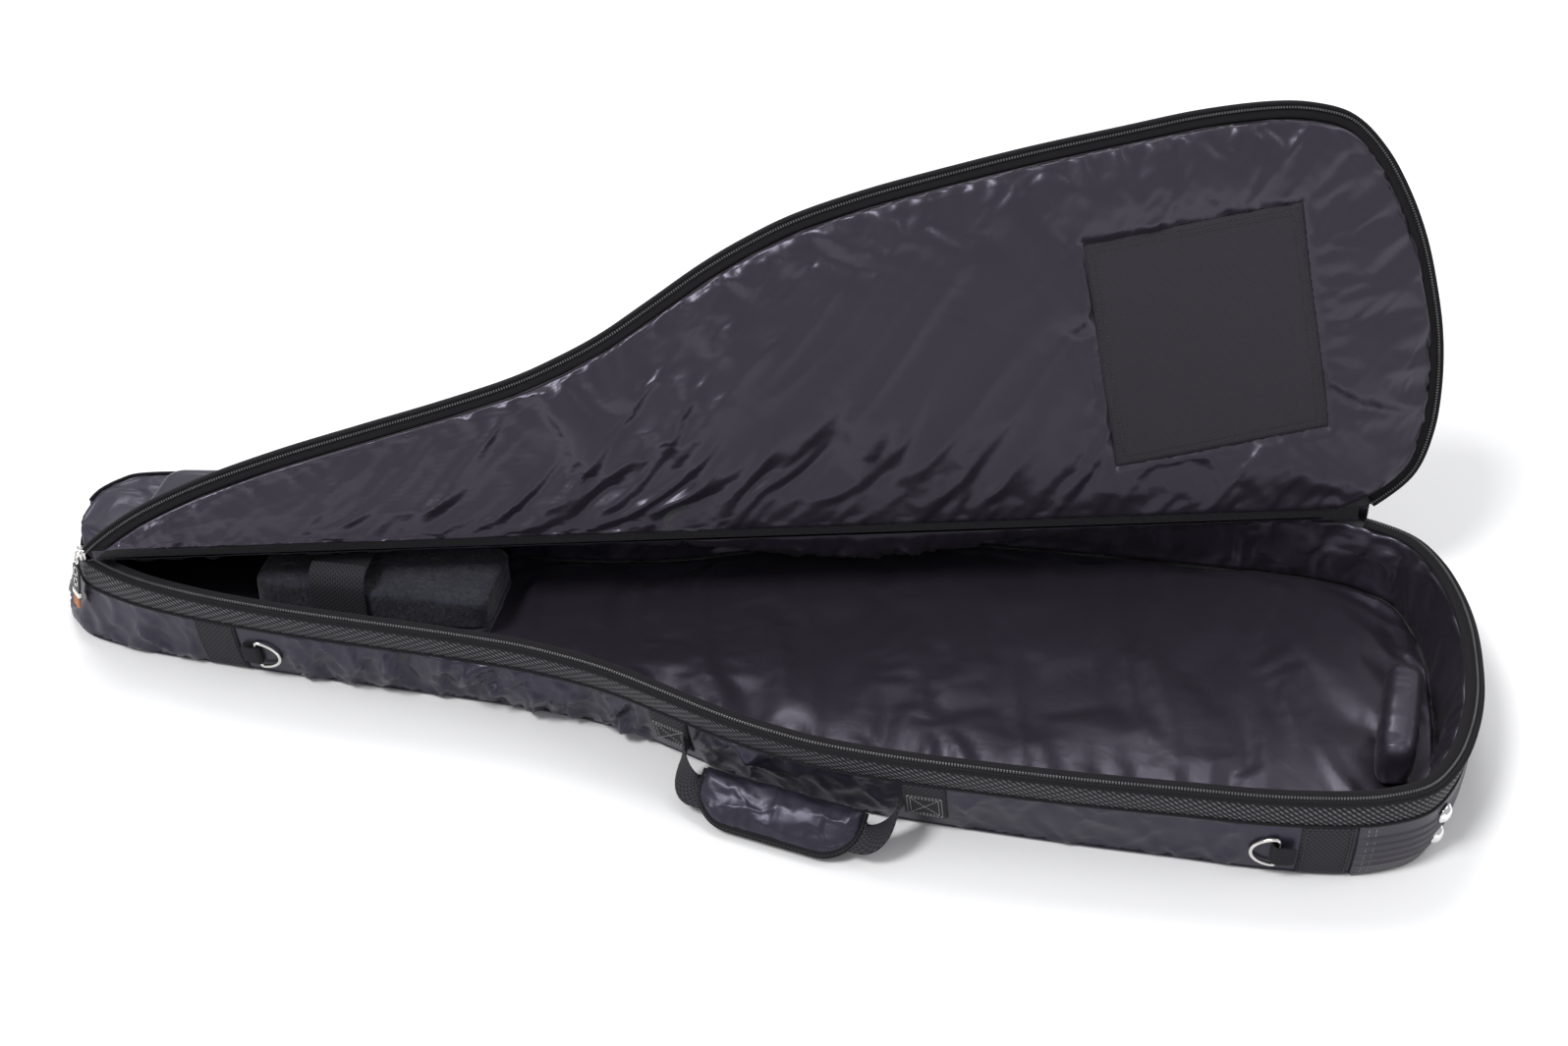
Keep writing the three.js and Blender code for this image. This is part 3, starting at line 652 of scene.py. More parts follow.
def canvas_material():
    look = Shader("patch_canvas", (0.026, 0.024, 0.03), 0.8, specular=0.12, sheen=0.03)
    u, v = look.uv()
    weave = look.math("ADD", look.wave(u, 1.3), look.wave(v, 1.3))
    # Painted shade and highlight: the colour follows the weave's height, darker between the threads and lighter on
    # them.
    look.tint(look.math("MULTIPLY", weave, 0.5), (0.026, 0.024, 0.030), (0.055, 0.051, 0.062))
    look.bump(weave, 0.25, 0.6)
    look.bump(look.noise(20, 2), 1.0, 0.3)
    return look.material


def thread_material(name, colour):
    shades = scaled(colour, 0.6), scaled(colour, 1.4)
    return plain_material(name, colour, 0.6, (1200, 2), shades, (1600, 2), (0.15, 0.5), specular=0.4, sheen=0.2)


NAVY = (0.0155, 0.0145, 0.0235)
PLUM = (0.021, 0.0180, 0.026)

LOOKS = {
    "nylon": nylon_material(),
    "lining": lining_material(),
    "webbing": webbing_material("webbing"),
    "binding": webbing_material("binding", 1.2, 2.2, (0.0115, 0.0105, 0.0125)),
    "strap": webbing_material("ribbed_strap", 2.2, 4.0, (0.026, 0.025, 0.029)),
    "mesh": mesh_band_material(),
    "teeth": plain_material(
        "zip_teeth", (0.14, 0.14, 0.145), 0.36, (90, 2), ((0.05, 0.05, 0.053), (0.15, 0.15, 0.155)),
        (900, 2), (0.1, 0.4), specular=0.6),
    "vinyl": vinyl_material(),
    "nickel": metal_material("nickel", (0.78, 0.76, 0.73), 0.16),
    "chrome": metal_material("chrome", (0.82, 0.82, 0.83), 0.07),
    "fleece": fleece_material(),
    "canvas": canvas_material(),
    "foam": plain_material(
        "foam", (0.05, 0.05, 0.055), 0.95, (500, 3), ((0.03, 0.03, 0.034), (0.07, 0.07, 0.075)),
        (500, 3), (0.6, 0.5)),
    "leather": plain_material(
        "orange_leather", (0.42, 0.13, 0.035), 0.5, (220, 4), ((0.24, 0.06, 0.015), (0.6, 0.22, 0.07)),
        (900, 3), (0.25, 0.5), specular=0.4),
    "rubber": plain_material(
        "puller_rubber", (0.012, 0.012, 0.0135), 0.45, (300, 3), ((0.009, 0.009, 0.010), (0.02, 0.02, 0.022)),
        (1200, 3), (0.1, 0.4), specular=0.4),
    "dark_thread": thread_material("dark_thread", (0.03, 0.03, 0.033)),
    "grey_thread": thread_material("grey_thread", (0.2, 0.2, 0.2)),
}


def dress(obj, look):
    """Gives an object its one material."""
    obj.data.materials.clear()
    obj.data.materials.append(LOOKS[look])


def ride_fold(obj):
    """Bakes the sheet's place into its mesh; the lean of a blend across the lid's fold, square to the line midway
    between shut and open, is worked out but not used.
    """
    lean = turn_open(FOLD_AT + FOLD_NEAR) - FOLD_AT + FOLD_NEAR
    lean = lean / np.linalg.norm(lean) * FOLD_REACH * 0.575
    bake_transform(obj)


def place(obj, body, look, replaces=()):
    """Gives a piece its material, its body and the CAD nodes it stands for."""
    dress(obj, look)
    if body == "fold":
        ride_fold(obj)
    else:
        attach(obj, body)
    if replaces:
        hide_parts(*replaces)


def sew(name, runs, body, look, radius=STITCH_RADIUS):
    """Makes and places one piece of stitching."""
    place(stitches(name, runs, radius), body, look)


# ---------- camera, floor and lights ----------

# The camera was solved from the frets and bridge of the bass in the photo, for a lens chosen among several that
# fitted about as well. Its place is in metres.
LENS, SENSOR = 49.62, 36
CAMERA_AT = (0.31598, -1.38884, 1.21864)
CAMERA_RIGHT = (0.9831219, 0.18241778, -0.01396746)
CAMERA_UP = (-0.09906553, 0.59497572, 0.79761514)
WORLD_LIGHT = 0.52
SUNS = [  # name, where from, width in degrees, strength
    ("key", (-0.35, 1.0, 1.35), 26, 1.1),
    ("side", (1.0, 0.1, 1.2), 30, 0.5),
    ("front", (-0.8, -0.75, 1.6), 16, 1.7),
]


def add_camera():
    camera = bpy.data.objects.new("camera", bpy.data.cameras.new("camera"))
    camera.data.lens = LENS
    camera.data.sensor_width = SENSOR
    camera.data.clip_end = 50
    right, up = Vector(CAMERA_RIGHT), Vector(CAMERA_UP)
    matrix = Matrix((right, up, right.cross(up))).transposed().to_4x4()
    matrix.translation = Vector(CAMERA_AT)
    camera.matrix_world = matrix
    bpy.context.scene.collection.objects.link(camera)
    bpy.context.scene.camera = camera


def add_sun(name, source, angle, strength):
    """A far, soft light: source points towards it, and angle is how wide it looks."""
    data = bpy.data.lights.new(name, "SUN")
    data.energy = strength
    data.angle = math.radians(angle)
    light = bpy.data.objects.new(name, data)
    light.rotation_euler = Vector(source).to_track_quat("Z", "Y").to_euler()
    bpy.context.scene.collection.objects.link(light)


def add_stage():
    """A wide pale floor, pale light from all round, and the suns."""
    reach, level = 30000, -0.4
    corners = [(x * reach, y * reach, level) for x, y in ((-1, -1), (1, -1), (1, 1), (-1, 1))]
    floor = mesh_object("studio_floor", corners, [(0, 1, 2, 3)], smooth=False)
    look = Shader("studio_floor", (0.93, 0.93, 0.935), 0.85, specular=0.2)
    floor.data.materials.append(look.material)
    world = bpy.data.worlds.new("studio")
    world.use_nodes = True
    background = world.node_tree.nodes["Background"].inputs
    background["Color"].default_value = (0.98, 0.985, 1.0, 1)
    background["Strength"].default_value = WORLD_LIGHT
    bpy.context.scene.world = world
    bpy.context.scene.view_settings.view_transform = "Standard"
    for light in SUNS:
        add_sun(*light)


# ---------- cloth ----------

CLOTHS = []
CLOTH_FRAMES = 14


def inside_polygon(x, y, corners):
    """1 inside a convex outline that runs anticlockwise, and 0 outside it."""
    inside = np.ones(np.shape(x))
    for (x0, y0), (x1, y1) in zip(corners, corners[1:] + corners[:1]):
        inside *= (x1 - x0) * (y - y0) - (y1 - y0) * (x - x0) > 0
    return inside


def strokes(u, v, lines):
    """The height of separate folds: each line is its start, its end, its bow, its width and its height."""
    height = np.zeros(np.broadcast(u, v).shape)
    for (u0, v0), (u1, v1), bow, width, amount in lines:
        length = math.hypot(u1 - u0, v1 - v0)
        cu, cv = (u1 - u0) / length, (v1 - v0) / length
        along = ((u - u0) * cu + (v - v0) * cv) / length
        inside = np.clip(along, 0, 1)
        across = (v - v0) * cu - (u - u0) * cv + bow * length * 4 * inside * (1 - inside)
        body = np.exp(-((across / width) ** 2)) - 0.55 * np.exp(-(((across + 1.9 * width) / (1.2 * width)) ** 2))
        height += amount * body * np.sin(math.pi * inside) ** 0.7 * ((along > 0) & (along < 1))
    return height


def add_cloth(obj, held, slack, outward, limits, bending, pressure, detail=0.0):
    """Marks a sheet for draping: held is 1 on its seams, slack is how much larger it was cut than it lies,
    limits are how far it may move inward and outward, and detail is the height of the creases that it is
    pressed into afterwards, in millimetres."""
    detail = (detail + np.zeros(len(obj.data.vertices))) if np.ndim(detail) == 0 else np.ravel(detail)
    CLOTHS.append((obj, np.asarray(outward, float).reshape(-1, 3), limits, detail))
    most = float(np.max(slack))
    for name, weights in (("held", held), ("tight", 1 - slack / most)):
        group = obj.vertex_groups.new(name=name)
        weights = np.asarray(weights, float).ravel()
        for index in np.flatnonzero(weights > 0.01):
            group.add([int(index)], float(weights[index]), "REPLACE")
    cloth = obj.modifiers.new("cloth", "CLOTH")
    settings = cloth.settings
    settings.quality = 5
    settings.mass = 0.05
    settings.tension_stiffness = settings.compression_stiffness = 20
    settings.shear_stiffness = 4
    settings.bending_stiffness = bending
    settings.vertex_group_mass = "held"
    settings.vertex_group_shrink = "tight"
    settings.shrink_min = -most
    settings.shrink_max = 0.0
    settings.use_pressure = True
    settings.uniform_pressure_force = pressure
    settings.effector_weights.gravity = 0
    cloth.collision_settings.use_collision = False
    cloth.collision_settings.use_self_collision = False


def settle_cloths():
    """Lets every sheet buckle together, then keeps its folds within its limits."""
    scene = bpy.context.scene
    for step in range(1, CLOTH_FRAMES + 1):
        scene.frame_set(step)
    depsgraph = bpy.context.evaluated_depsgraph_get()
    for obj, outward, (low, high), detail in CLOTHS:
        start = coordinates(obj.data)
        moved = coordinates(obj.evaluated_get(depsgraph).data)
        shift = (moved - start) / MM
        lift = np.einsum("ij,ij->i", shift, outward)
        shift -= lift[:, None] * outward
        reach = np.linalg.norm(shift, axis=1, keepdims=True)
        shift *= np.minimum(1, 6 / np.maximum(reach, 1e-6))
        limit = np.where(lift < 0, low, high)
        shift += (limit * np.tanh(lift / limit) + detail)[:, None] * outward
        obj.modifiers.clear()
        obj.data.vertices.foreach_set("co", (start + shift * MM).ravel())
        obj.data.update()
    scene.frame_set(1)


def flat_cut(obj):
    """The width, length and area of the cloth that a sheet was cut from, which its uv map is the pattern of."""
    mesh = obj.data
    uv = np.empty(len(mesh.loops) * 2)
    mesh.uv_layers[0].data.foreach_get("uv", uv)
    quads = uv.reshape(-1, 4, 2)
    ahead = np.roll(quads, -1, axis=1)
    area = float(np.abs((quads[..., 0] * ahead[..., 1] - quads[..., 1] * ahead[..., 0]).sum(1)).sum() / 2)
    span = np.ptp(quads.reshape(-1, 2), axis=0)
    return float(span.min()), float(span.max()), area


def place_sheets(sheets):
    for obj, body, look, nodes, held, rest in sheets:
        width, length, area = flat_cut(obj)
        thicken(obj, 0.9)
        place(obj, body, look, nodes)


def coordinates(mesh):
    """The mesh's points, in metres."""
    values = np.empty(len(mesh.vertices) * 3)
    mesh.vertices.foreach_get("co", values)
    return values.reshape(-1, 3)


# ---------- base ----------

def ring_surface(name, t, lengths, s, z, wrap, thickness_in):
    """A wall ring or strip: outer rows at s, z (one column per station), closed behind by an inner face."""
    outer = wall(t[:, None], s, z)
    inner_s = np.stack([s[:, -1] - thickness_in, s[:, 0] - thickness_in], axis=1)
    inner_z = np.stack([z[:, -1], z[:, 0]], axis=1)
    inner = wall(t[:, None], inner_s, inner_z)
    points = np.concatenate([outer, inner], axis=1)
    girth = path_length(points[len(t) // 2])
    girth = np.append(girth, girth[-1] + thickness_in)
    u = lengths
    if wrap:
        u = one_more(lengths)
    obj = grid(name, points, uv_arrays(u, girth), wrap_u=wrap, wrap_v=True)
    if not wrap:
        cap_ends(obj, len(t), points.shape[1])
    return obj


def ring_stations(step):
    """Stations all the way round the wall, and their distance along it."""
    t, lengths = even_stations(0, STATIONS, step)
    return t[:-1], lengths[:-1]


def belly(z):
    """How far the padded wall stands out at a height, between its bottom seam and its top seam."""
    return 2.0 * np.sin(math.pi * np.clip((z - WALL_FOOT) / WALL_SPAN, 0, 1)) ** 0.8


def fitting_cover(x, near):
    """1 where a band, patch, ring or guard holds the nylon down."""
    held = smoothstep(TAIL_GUARD_X - 7, TAIL_GUARD_X + 1, x)
    for low, high in HELD_DOWN if near else []:
        held = np.maximum(held, smoothstep(low - 10, low, x) * (1 - smoothstep(high, high + 10, x)))
    return held


def add_side_wall():
    """Outer nylon, slack over its padding, gathered most along the neck."""
    t, lengths = ring_stations(3.4)
    share = np.linspace(0, 1, 21)
    z = WALL_FOOT + WALL_SPAN * share
    x = wall(t, 0, WALL_H / 2)[:, 0]
    covered = np.where(t < STATIONS / 2, fitting_cover(x, True), fitting_cover(x, False))
    loose = (0.35 + 0.65 * np.exp(-(((x + 215) / 235) ** 2))) * (1 - covered)
    u, v = uv_arrays(lengths, share)
    folds = creases(u / 30 + v * 0.8, v * 1.3 + u / 170, 11)
    s = belly(z[None]) + np.sin(math.pi * v) ** 0.7 * loose[:, None] * (2.0 + 5 * (folds - 0.3))
    points = wall(t[:, None], s, z[None])
    obj = grid("side_wall_nylon", points, uv_arrays(one_more(lengths), z), wrap_u=True)
    seam = (v < 0.01) | (v > 0.99)
    held = np.where(seam, 1.0, smoothstep(0.5, 1.0, covered)[:, None])
    outward = np.repeat(outward_normals(RIM_LOOP, t)[:, None], len(z), axis=1)
    height = v * WALL_SPAN
    chance = np.random.default_rng(17)
    lines = []
    at = lengths[0] + 20
    while at < lengths[-1]:
        gathered = float(np.interp(at, lengths, loose))
        lean = chance.choice([-1, 1], p=[0.35, 0.65]) * chance.uniform(14, 42)
        low, high = chance.choice([(0, 52), (0, 34), (18, 54)])
        size = (0.8 + 6.0 * gathered**2) * chance.uniform(0.6, 1.1)
        lines.append(((at, low), (at + lean, high), chance.uniform(-0.14, 0.14), chance.uniform(3.4, 5.6), size))
        at += chance.uniform(12, 24) + 34 * (1 - gathered) ** 2
    seam_fade = np.clip(np.minimum(v, 1 - v) / 0.08, 0, 1)
    scallop = lattice_noise(u / 26, 0 * u, 19) * np.exp(-(((v - 0.14) / 0.16) ** 2)) * 5 * loose[:, None] ** 2
    detail = (strokes(u, height, lines) + scallop) * seam_fade * (1 - held)
    slack = 0.01 + 0.10 * loose[:, None] * np.ones_like(v)
    add_cloth(obj, held, slack, outward, (-3.0, 7.0), bending=0.06, pressure=0.8, detail=np.clip(detail, -2.2, 7))
    return obj


def add_mesh_band():
    """The coarse mesh tape below the zip, between its two piped seams."""
    t, lengths = ring_stations(5)
    z = np.linspace(BAND_Z, WALL_H, 7)
    share = (z - z[0]) / (z[-1] - z[0])
    s = np.broadcast_to(0.4 + 1.2 * np.sin(math.pi * share), (len(t), len(z)))
    obj = ring_surface("rim_mesh_tape", t, lengths, s, np.broadcast_to(z, s.shape), True, 1.6)
    place(obj, "root", "mesh", ["rim_mesh_band"])
    for name, height in (("band_seam_low", BAND_Z), ("band_seam_high", WALL_H - 0.6)):
        path = wall(t, 1.0, height)
        cord = tube(name, path, 1.1, sides=8, closed=True, flatten=1.3)
        place(cord, "root", "binding")


def add_back_panel():
    """The bottom sheet, rounded up into the walls at its edge."""
    t, lengths = ring_stations(6)
    under = [(-60, 0.0), (-30, 0.0), (-8, 0.0), (-3, 0.2), (-0.4, 1.0)]
    profile = under + [(0.6, 2.6), (-1.2, 3.0), (-8, 2.4), (-30, 2.2)]
    points = np.stack([wall(t, s, z) for s, z in profile], axis=1)
    centre_low = np.stack([np.clip(points[:, 0, 0], -500, 480), np.zeros(len(t)), np.zeros(len(t))], axis=1)
    centre_high = centre_low + [0, 0, 2.2]
    points = np.concatenate([centre_low[:, None], points, centre_high[:, None]], axis=1)
    girth = np.arange(points.shape[1]) * 10.0
    obj = grid("back_panel_sheet", points, uv_arrays(one_more(lengths), girth), wrap_u=True)
    clean(obj)
    place(obj, "root", "nylon", ["back_panel_shell"])


def clean(obj):
    """Merges points that meet, and turns the faces outward."""
    shape = bmesh.new()
    shape.from_mesh(obj.data)
    bmesh.ops.remove_doubles(shape, verts=shape.verts, dist=0.02 * MM)
    bmesh.ops.recalc_face_normals(shape, faces=shape.faces)
    shape.to_mesh(obj.data)
    shape.free()
    return obj


def add_wall_lining():
    """The padded lining inside the wall, pulled in by upright tucks."""
    t, lengths = ring_stations(4)
    share = np.linspace(0, 1, 19)
    z = FLOOR_TOP + 0.5 + (WALL_H - FLOOR_TOP - 1) * share
    u, v = uv_arrays(lengths, share)
    tucks = creases(u / 44, v * 0.8 + 3 + u / 300, 23)
    s = -LINING_IN + 0.5 - np.sin(math.pi * v) ** 0.7 * (1.0 + 4.0 * tucks)
    points = wall(t[:, None], s, z[None])
    obj = grid("wall_lining", points, uv_arrays(one_more(lengths), z), wrap_u=True, flip=True)
    held = ((v < 0.01) | (v > 0.99)).astype(float)
    inward = -np.repeat(outward_normals(RIM_LOOP, t)[:, None], len(z), axis=1)
    add_cloth(obj, held, 0.05 * np.ones_like(v), inward, (-1.5, 8.0), bending=0.1, pressure=0.8)
    return obj


def panel_grid(low_y, high_y, x, count):
    """Points between two edges, given at each x: x by rows."""
    v = np.linspace(0, 1, count)
    y = low_y[:, None] * (1 - v) + high_y[:, None] * v
    return np.broadcast_to(x[:, None], y.shape), y


def end_spaced(low, high, count):
    """Values from low to high, closer together near both ends."""
    share = np.linspace(0, 1, count)
    eased = 0.5 - 0.5 * np.cos(math.pi * share)
    return low + (high - low) * (0.55 * share + 0.45 * eased)


def add_floor_lining():
    """The lining over the padded floor, puckered towards its edge."""
    inset = LINING_IN + 1
    low, high = wall(0, -inset, FLOOR_TOP)[0], wall(STATIONS / 2, -inset, FLOOR_TOP)[0]
    x = end_spaced(low + 0.01, high - 0.01, 250)
    near = np.maximum(edge_y(x, inset, height=FLOOR_TOP), 0.5)
    far = np.maximum(edge_y(x, inset, far=True, height=FLOOR_TOP), 0.5)
    gx, gy = panel_grid(-near, far, x, 70)
    border = np.minimum(np.minimum(near[:, None] + gy, far[:, None] - gy), np.minimum(gx - low, high - gx))
    away = np.clip(border / 25, 0, 1) ** 0.6
    folds = creases(gx / 52 + gy / 260, gy / 170 + 5, 31)
    z = FLOOR_TOP - 0.6 + away * (1.6 + 2.5 * folds)
    points = np.stack([gx, gy, z], axis=-1)
    obj = grid("floor_lining", points, (gx, gy))
    up = np.broadcast_to([0.0, 0.0, 1.0], points.shape)
    chance = np.random.default_rng(37)
    lines = []
    for at in np.arange(-330, 560, 24):
        side = chance.choice([-1, 1], p=[0.7, 0.3])
        edge = float(np.interp(at, x, near if side < 0 else far)) * side
        start = (at, edge - side * chance.uniform(2, 12))
        end = (at + chance.uniform(-46, 10), edge - side * chance.uniform(45, 105))
        lines.append((start, end, chance.uniform(-0.1, 0.1), chance.uniform(4, 8), chance.uniform(1.2, 3.2)))
    detail = np.clip(strokes(gx, gy, lines) * np.clip(border / 6, 0, 1), -1.2, 5)
    held = (border < 1.5).astype(float)
    add_cloth(obj, held, 0.02 * np.ones_like(gx), up, (-1.6, 4.0), bending=0.3, pressure=0.05, detail=detail)
    return obj


# ---------- zip ----------

def add_tape(name, z, flip, body, replaces):
    """The zip tape round the opening, with a soft turned edge on the inner side."""
    t, lengths = even_stations(ZIP_START + 0.02, ZIP_END - 0.02, 5)
    sign = -1 if flip else 1
    outer_edge = [(0.2, -0.4), (0.5, 0.9), (-0.6, 1.5), (-2.2, 1.0), (-2.6, 0.7)]
    inner_edge = [(-9.4, 1.4), (-10.6, 1.9), (-12.6, 1.9), (-13.2, 0.8), (-12.4, -0.6), (-6, 0.0)]
    profile = outer_edge + [(-5.4, 0.7), (-5.8, 1.2)] + inner_edge
    points = np.stack([wall(t, s, z + sign * h) for s, h in profile], axis=1)
    if flip:
        points = turn_open(points)
    girth = path_length(points[0])
    uv = uv_arrays(lengths, np.append(girth, girth[-1] + 6))
    obj = grid(name, points, uv, wrap_v=True)
    cap_ends(obj, len(t), len(profile))
    place(obj, body, "binding", replaces)


def blocks(name, points):
    """Six-sided blocks, from eight corners each."""
    sides = [(0, 3, 2, 1), (4, 5, 6, 7), (0, 1, 5, 4), (1, 2, 6, 5), (2, 3, 7, 6), (3, 0, 4, 7)]
    faces = (np.arange(len(points))[:, None, None] * 8 + np.array(sides)[None]).reshape(-1, 4)
    return clean(mesh_object(name, points.reshape(-1, 3), faces, smooth=False))


def add_teeth(name, z, flip, body, replaces):
    """Coil teeth: one small rounded block to each pitch."""
    t, _ = even_stations(ZIP_START + 0.03, ZIP_END - 0.03, TEETH_PITCH)
    sign = -1 if flip else 1
    along = 0.27
    step = np.gradient(t)
    block = [
        (-along, -4.9, 0.0), (along, -4.9, 0.0), (along, -2.9, 0.0), (-along, -2.9, 0.0),
        (-along * 0.8, -4.6, 1.6), (along * 0.8, -4.6, 1.6), (along * 0.8, -3.2, 1.6), (-along * 0.8, -3.2, 1.6),
    ]
    points = np.stack([wall(t + a * step, s, z + sign * h) for a, s, h in block], axis=1)
    if flip:
        points = turn_open(points)
    place(blocks(name, points), body, "teeth", replaces)


# ---------- lid ----------

def lid_region(inset, count_x, count_y, whole):
    """Closed lid points in plan, as x by rows: the whole panel, or only the side that opens."""
    low, high = rim_reach(inset)
    x = end_spaced(low + 0.01, high - 0.01, count_x)
    if not whole:
        crossing = wall(ZIP_START, -inset, WALL_H)[0]
        x = end_spaced(crossing + 2, high - 0.01, count_x)
    near = np.maximum(edge_y(x, inset), 0.5)
    far = np.maximum(edge_y(x, inset, far=True), 0.5)
    top = far if whole else np.minimum(far, fold_y(x))
    return panel_grid(-near, top, x, count_y), near, far


def plan_border(gx, gy, near, far, inset):
    """How far points of a closed panel lie from its edge."""
    low, high = rim_reach(inset)
    sides = np.minimum(near[:, None] + gy, far[:, None] - gy)
    return np.clip(np.minimum(sides, np.minimum(gx - low, high - gx)), 0, None)


def add_lid_outer():
    """The outer nylon of the lid and of the strip behind the fold, in one sheet that bends."""
    (gx, gy), near, far = lid_region(SHELL_T, 280, 96, True)
    border = plan_border(gx, gy, near, far, SHELL_T)
    away = np.clip(border / 22, 0, 1) ** 0.5
    puff = creases(gx / 95 + gy / 200, gy / 62, 41) * away
    points = np.stack([gx, gy, LID_TOP - 2.0 + 3.0 * away + 1.6 * puff], axis=-1)
    distance = fold_distance(points)
    calm = 1 - np.exp(-((distance / 16) ** 2))
    points[..., 2] -= (1 - calm) * 1.6 * puff
    opened = fold_open(points)
    out = fold_open(points + [0, 0, 1.0]) - opened
    obj = grid("lid_outer_nylon", opened, (gx, gy))
    held = np.maximum((border < 2).astype(float), 1 - smoothstep(0.2, 0.6, calm))
    for outline in (HEAD_POCKET, MUSIC_POCKET):
        held = np.maximum(held, inside_polygon(gx, gy, outline))
    add_cloth(obj, held, 0.014 * calm + 0.002, out, (-2.0, 4.0), bending=0.6, pressure=0.1)
    return obj


def add_lid_edge():
    """Binding round the lid's edge, and the gusset that carries on round the hinge side."""
    t, lengths = even_stations(ZIP_START + 0.02, ZIP_END - 0.02, 5)
    side = [(-2.2, -8.5), (-0.3, -8.5), (0.5, -6.0), (0.9, -3.5), (0.6, -1.0)]
    profile = side + [(-1.0, 0.7), (-4.5, 0.2), (-4.5, -1.2), (-2.2, -2.2)]
    points = np.stack([wall(t, s, LID_TOP + z) for s, z in profile], axis=1)
    girth = path_length(points[0])
    uv = uv_arrays(lengths, np.append(girth, girth[-1] + 2))
    obj = grid("lid_edge_tape", turn_open(points), uv, wrap_v=True)
    cap_ends(obj, len(t), len(profile))
    place(obj, "lid", "binding", ["lid_edge_binding"])

    t, lengths = even_stations(ZIP_END, STATIONS + ZIP_START, 5)
    z = np.broadcast_to(np.linspace(WALL_H + 0.3, LID_TOP - 0.5, 6), (len(t), 6))
    share = np.linspace(0, 1, 6)
    s = np.broadcast_to(0.3 + 1.6 * np.sin(math.pi * share), z.shape)
    gusset = ring_surface("hinge_gusset_nylon", t, lengths, s, z, False, SHELL_T)
    place(gusset, "root", "nylon", ["hinge_gusset"])
    cord = tube("hinge_edge_piping", wall(t, -0.2, LID_TOP - 0.6), 1.7, sides=10)
    place(cord, "root", "binding")


def lining_folds(gx, gy):
    """Folds of the lid lining from 0 to 1: long slanted drapes that fan out from the crease by the neck."""
    slant = 0.8 * gx + gy
    return creases(slant / 48 + 0.5 * lattice_noise(gx / 160, gy / 160, 5), (gx - gy) / 460, 53)


def add_lid_lining():
    """The shiny lining inside the lid, slack between its seams and round its patch."""
    (gx, gy), near, far = lid_region(LINING_IN, 320, 104, False)
    flat = np.stack([gx, gy, np.full(gx.shape, LID_TOP - LID_DEPTH)], axis=-1)
    distance = np.clip(fold_distance(flat), 0, None)
    border = np.minimum(plan_border(gx, gy, near, far, LINING_IN), distance)
    away = np.clip(border / 26, 0, 1) ** 0.6
    neck = np.exp(-(((gx + 60) / 300) ** 2)) * (0.45 + 0.55 * np.exp(-distance / 130))
    a, b = patch_coords(gx, gy)
    on_patch = 1 - smoothstep(0.97, 1.04, np.maximum(np.abs(a), np.abs(b)))
    flat[..., 2] += 0.6 - away * (1 - on_patch) * (4.0 + (1.5 + 6.0 * neck) * lining_folds(gx, gy))
    opened = turn_open(flat)
    down = np.broadcast_to(LID_DOWN, opened.shape)
    obj = grid("lid_lining_cloth", opened, (gx, gy), flip=True)
    held = np.maximum((border < 1.5).astype(float), on_patch)
    slack = 0.02 + 0.02 * neck + 0.02 * np.exp(-border / 30)
    chance = np.random.default_rng(29)
    lines = []
    for x in np.linspace(-400, 300, 34):
        gathered = math.exp(-(((x + 130) / 190) ** 2))
        lean = math.radians(chance.uniform(26, 50))
        start = chance.uniform(0, 46) * (1 - 0.5 * gathered)
        length = chance.uniform(50, 110) + 110 * gathered * chance.uniform(0.3, 1)
        x0 = x + chance.uniform(-9, 9)
        end = (x0 + length * math.cos(lean), start + length * math.sin(lean))
        size = (0.6 + 3.0 * gathered) * chance.uniform(0.5, 1)
        lines.append(((x0, start), end, chance.uniform(0.06, 0.14), chance.uniform(3.0, 5.5), size))
    rim = near[:, None] + gy
    around = np.maximum(np.abs(a) * PATCH_HALF[0] - PATCH_HALF[0], np.abs(b) * PATCH_HALF[1] - PATCH_HALF[1])
    rim_tucks = creases((gx - 0.7 * rim) / 17, rim / 60, 71) * np.exp(-rim / 24) * smoothstep(0, 5, rim)
    patch_tucks = creases((gx * 0.8 - gy * 0.6) / 13, around / 40, 73)
    patch_tucks = patch_tucks * np.exp(-around / 18) * smoothstep(0, 4, around)
    fold_tucks = creases((gx - 1.5 * distance) / 20, distance / 60, 75) * np.exp(-distance / 26)
    detail = strokes(gx, distance, lines) + 3.2 * rim_tucks + 2.6 * patch_tucks + 2.6 * fold_tucks
    detail = detail * np.clip(border / 6, 0, 1) * (1 - on_patch)
    add_cloth(obj, held, slack, down, (-4.0, 6.0), bending=0.25, pressure=0.1, detail=np.clip(detail, -3, 7))
    return obj


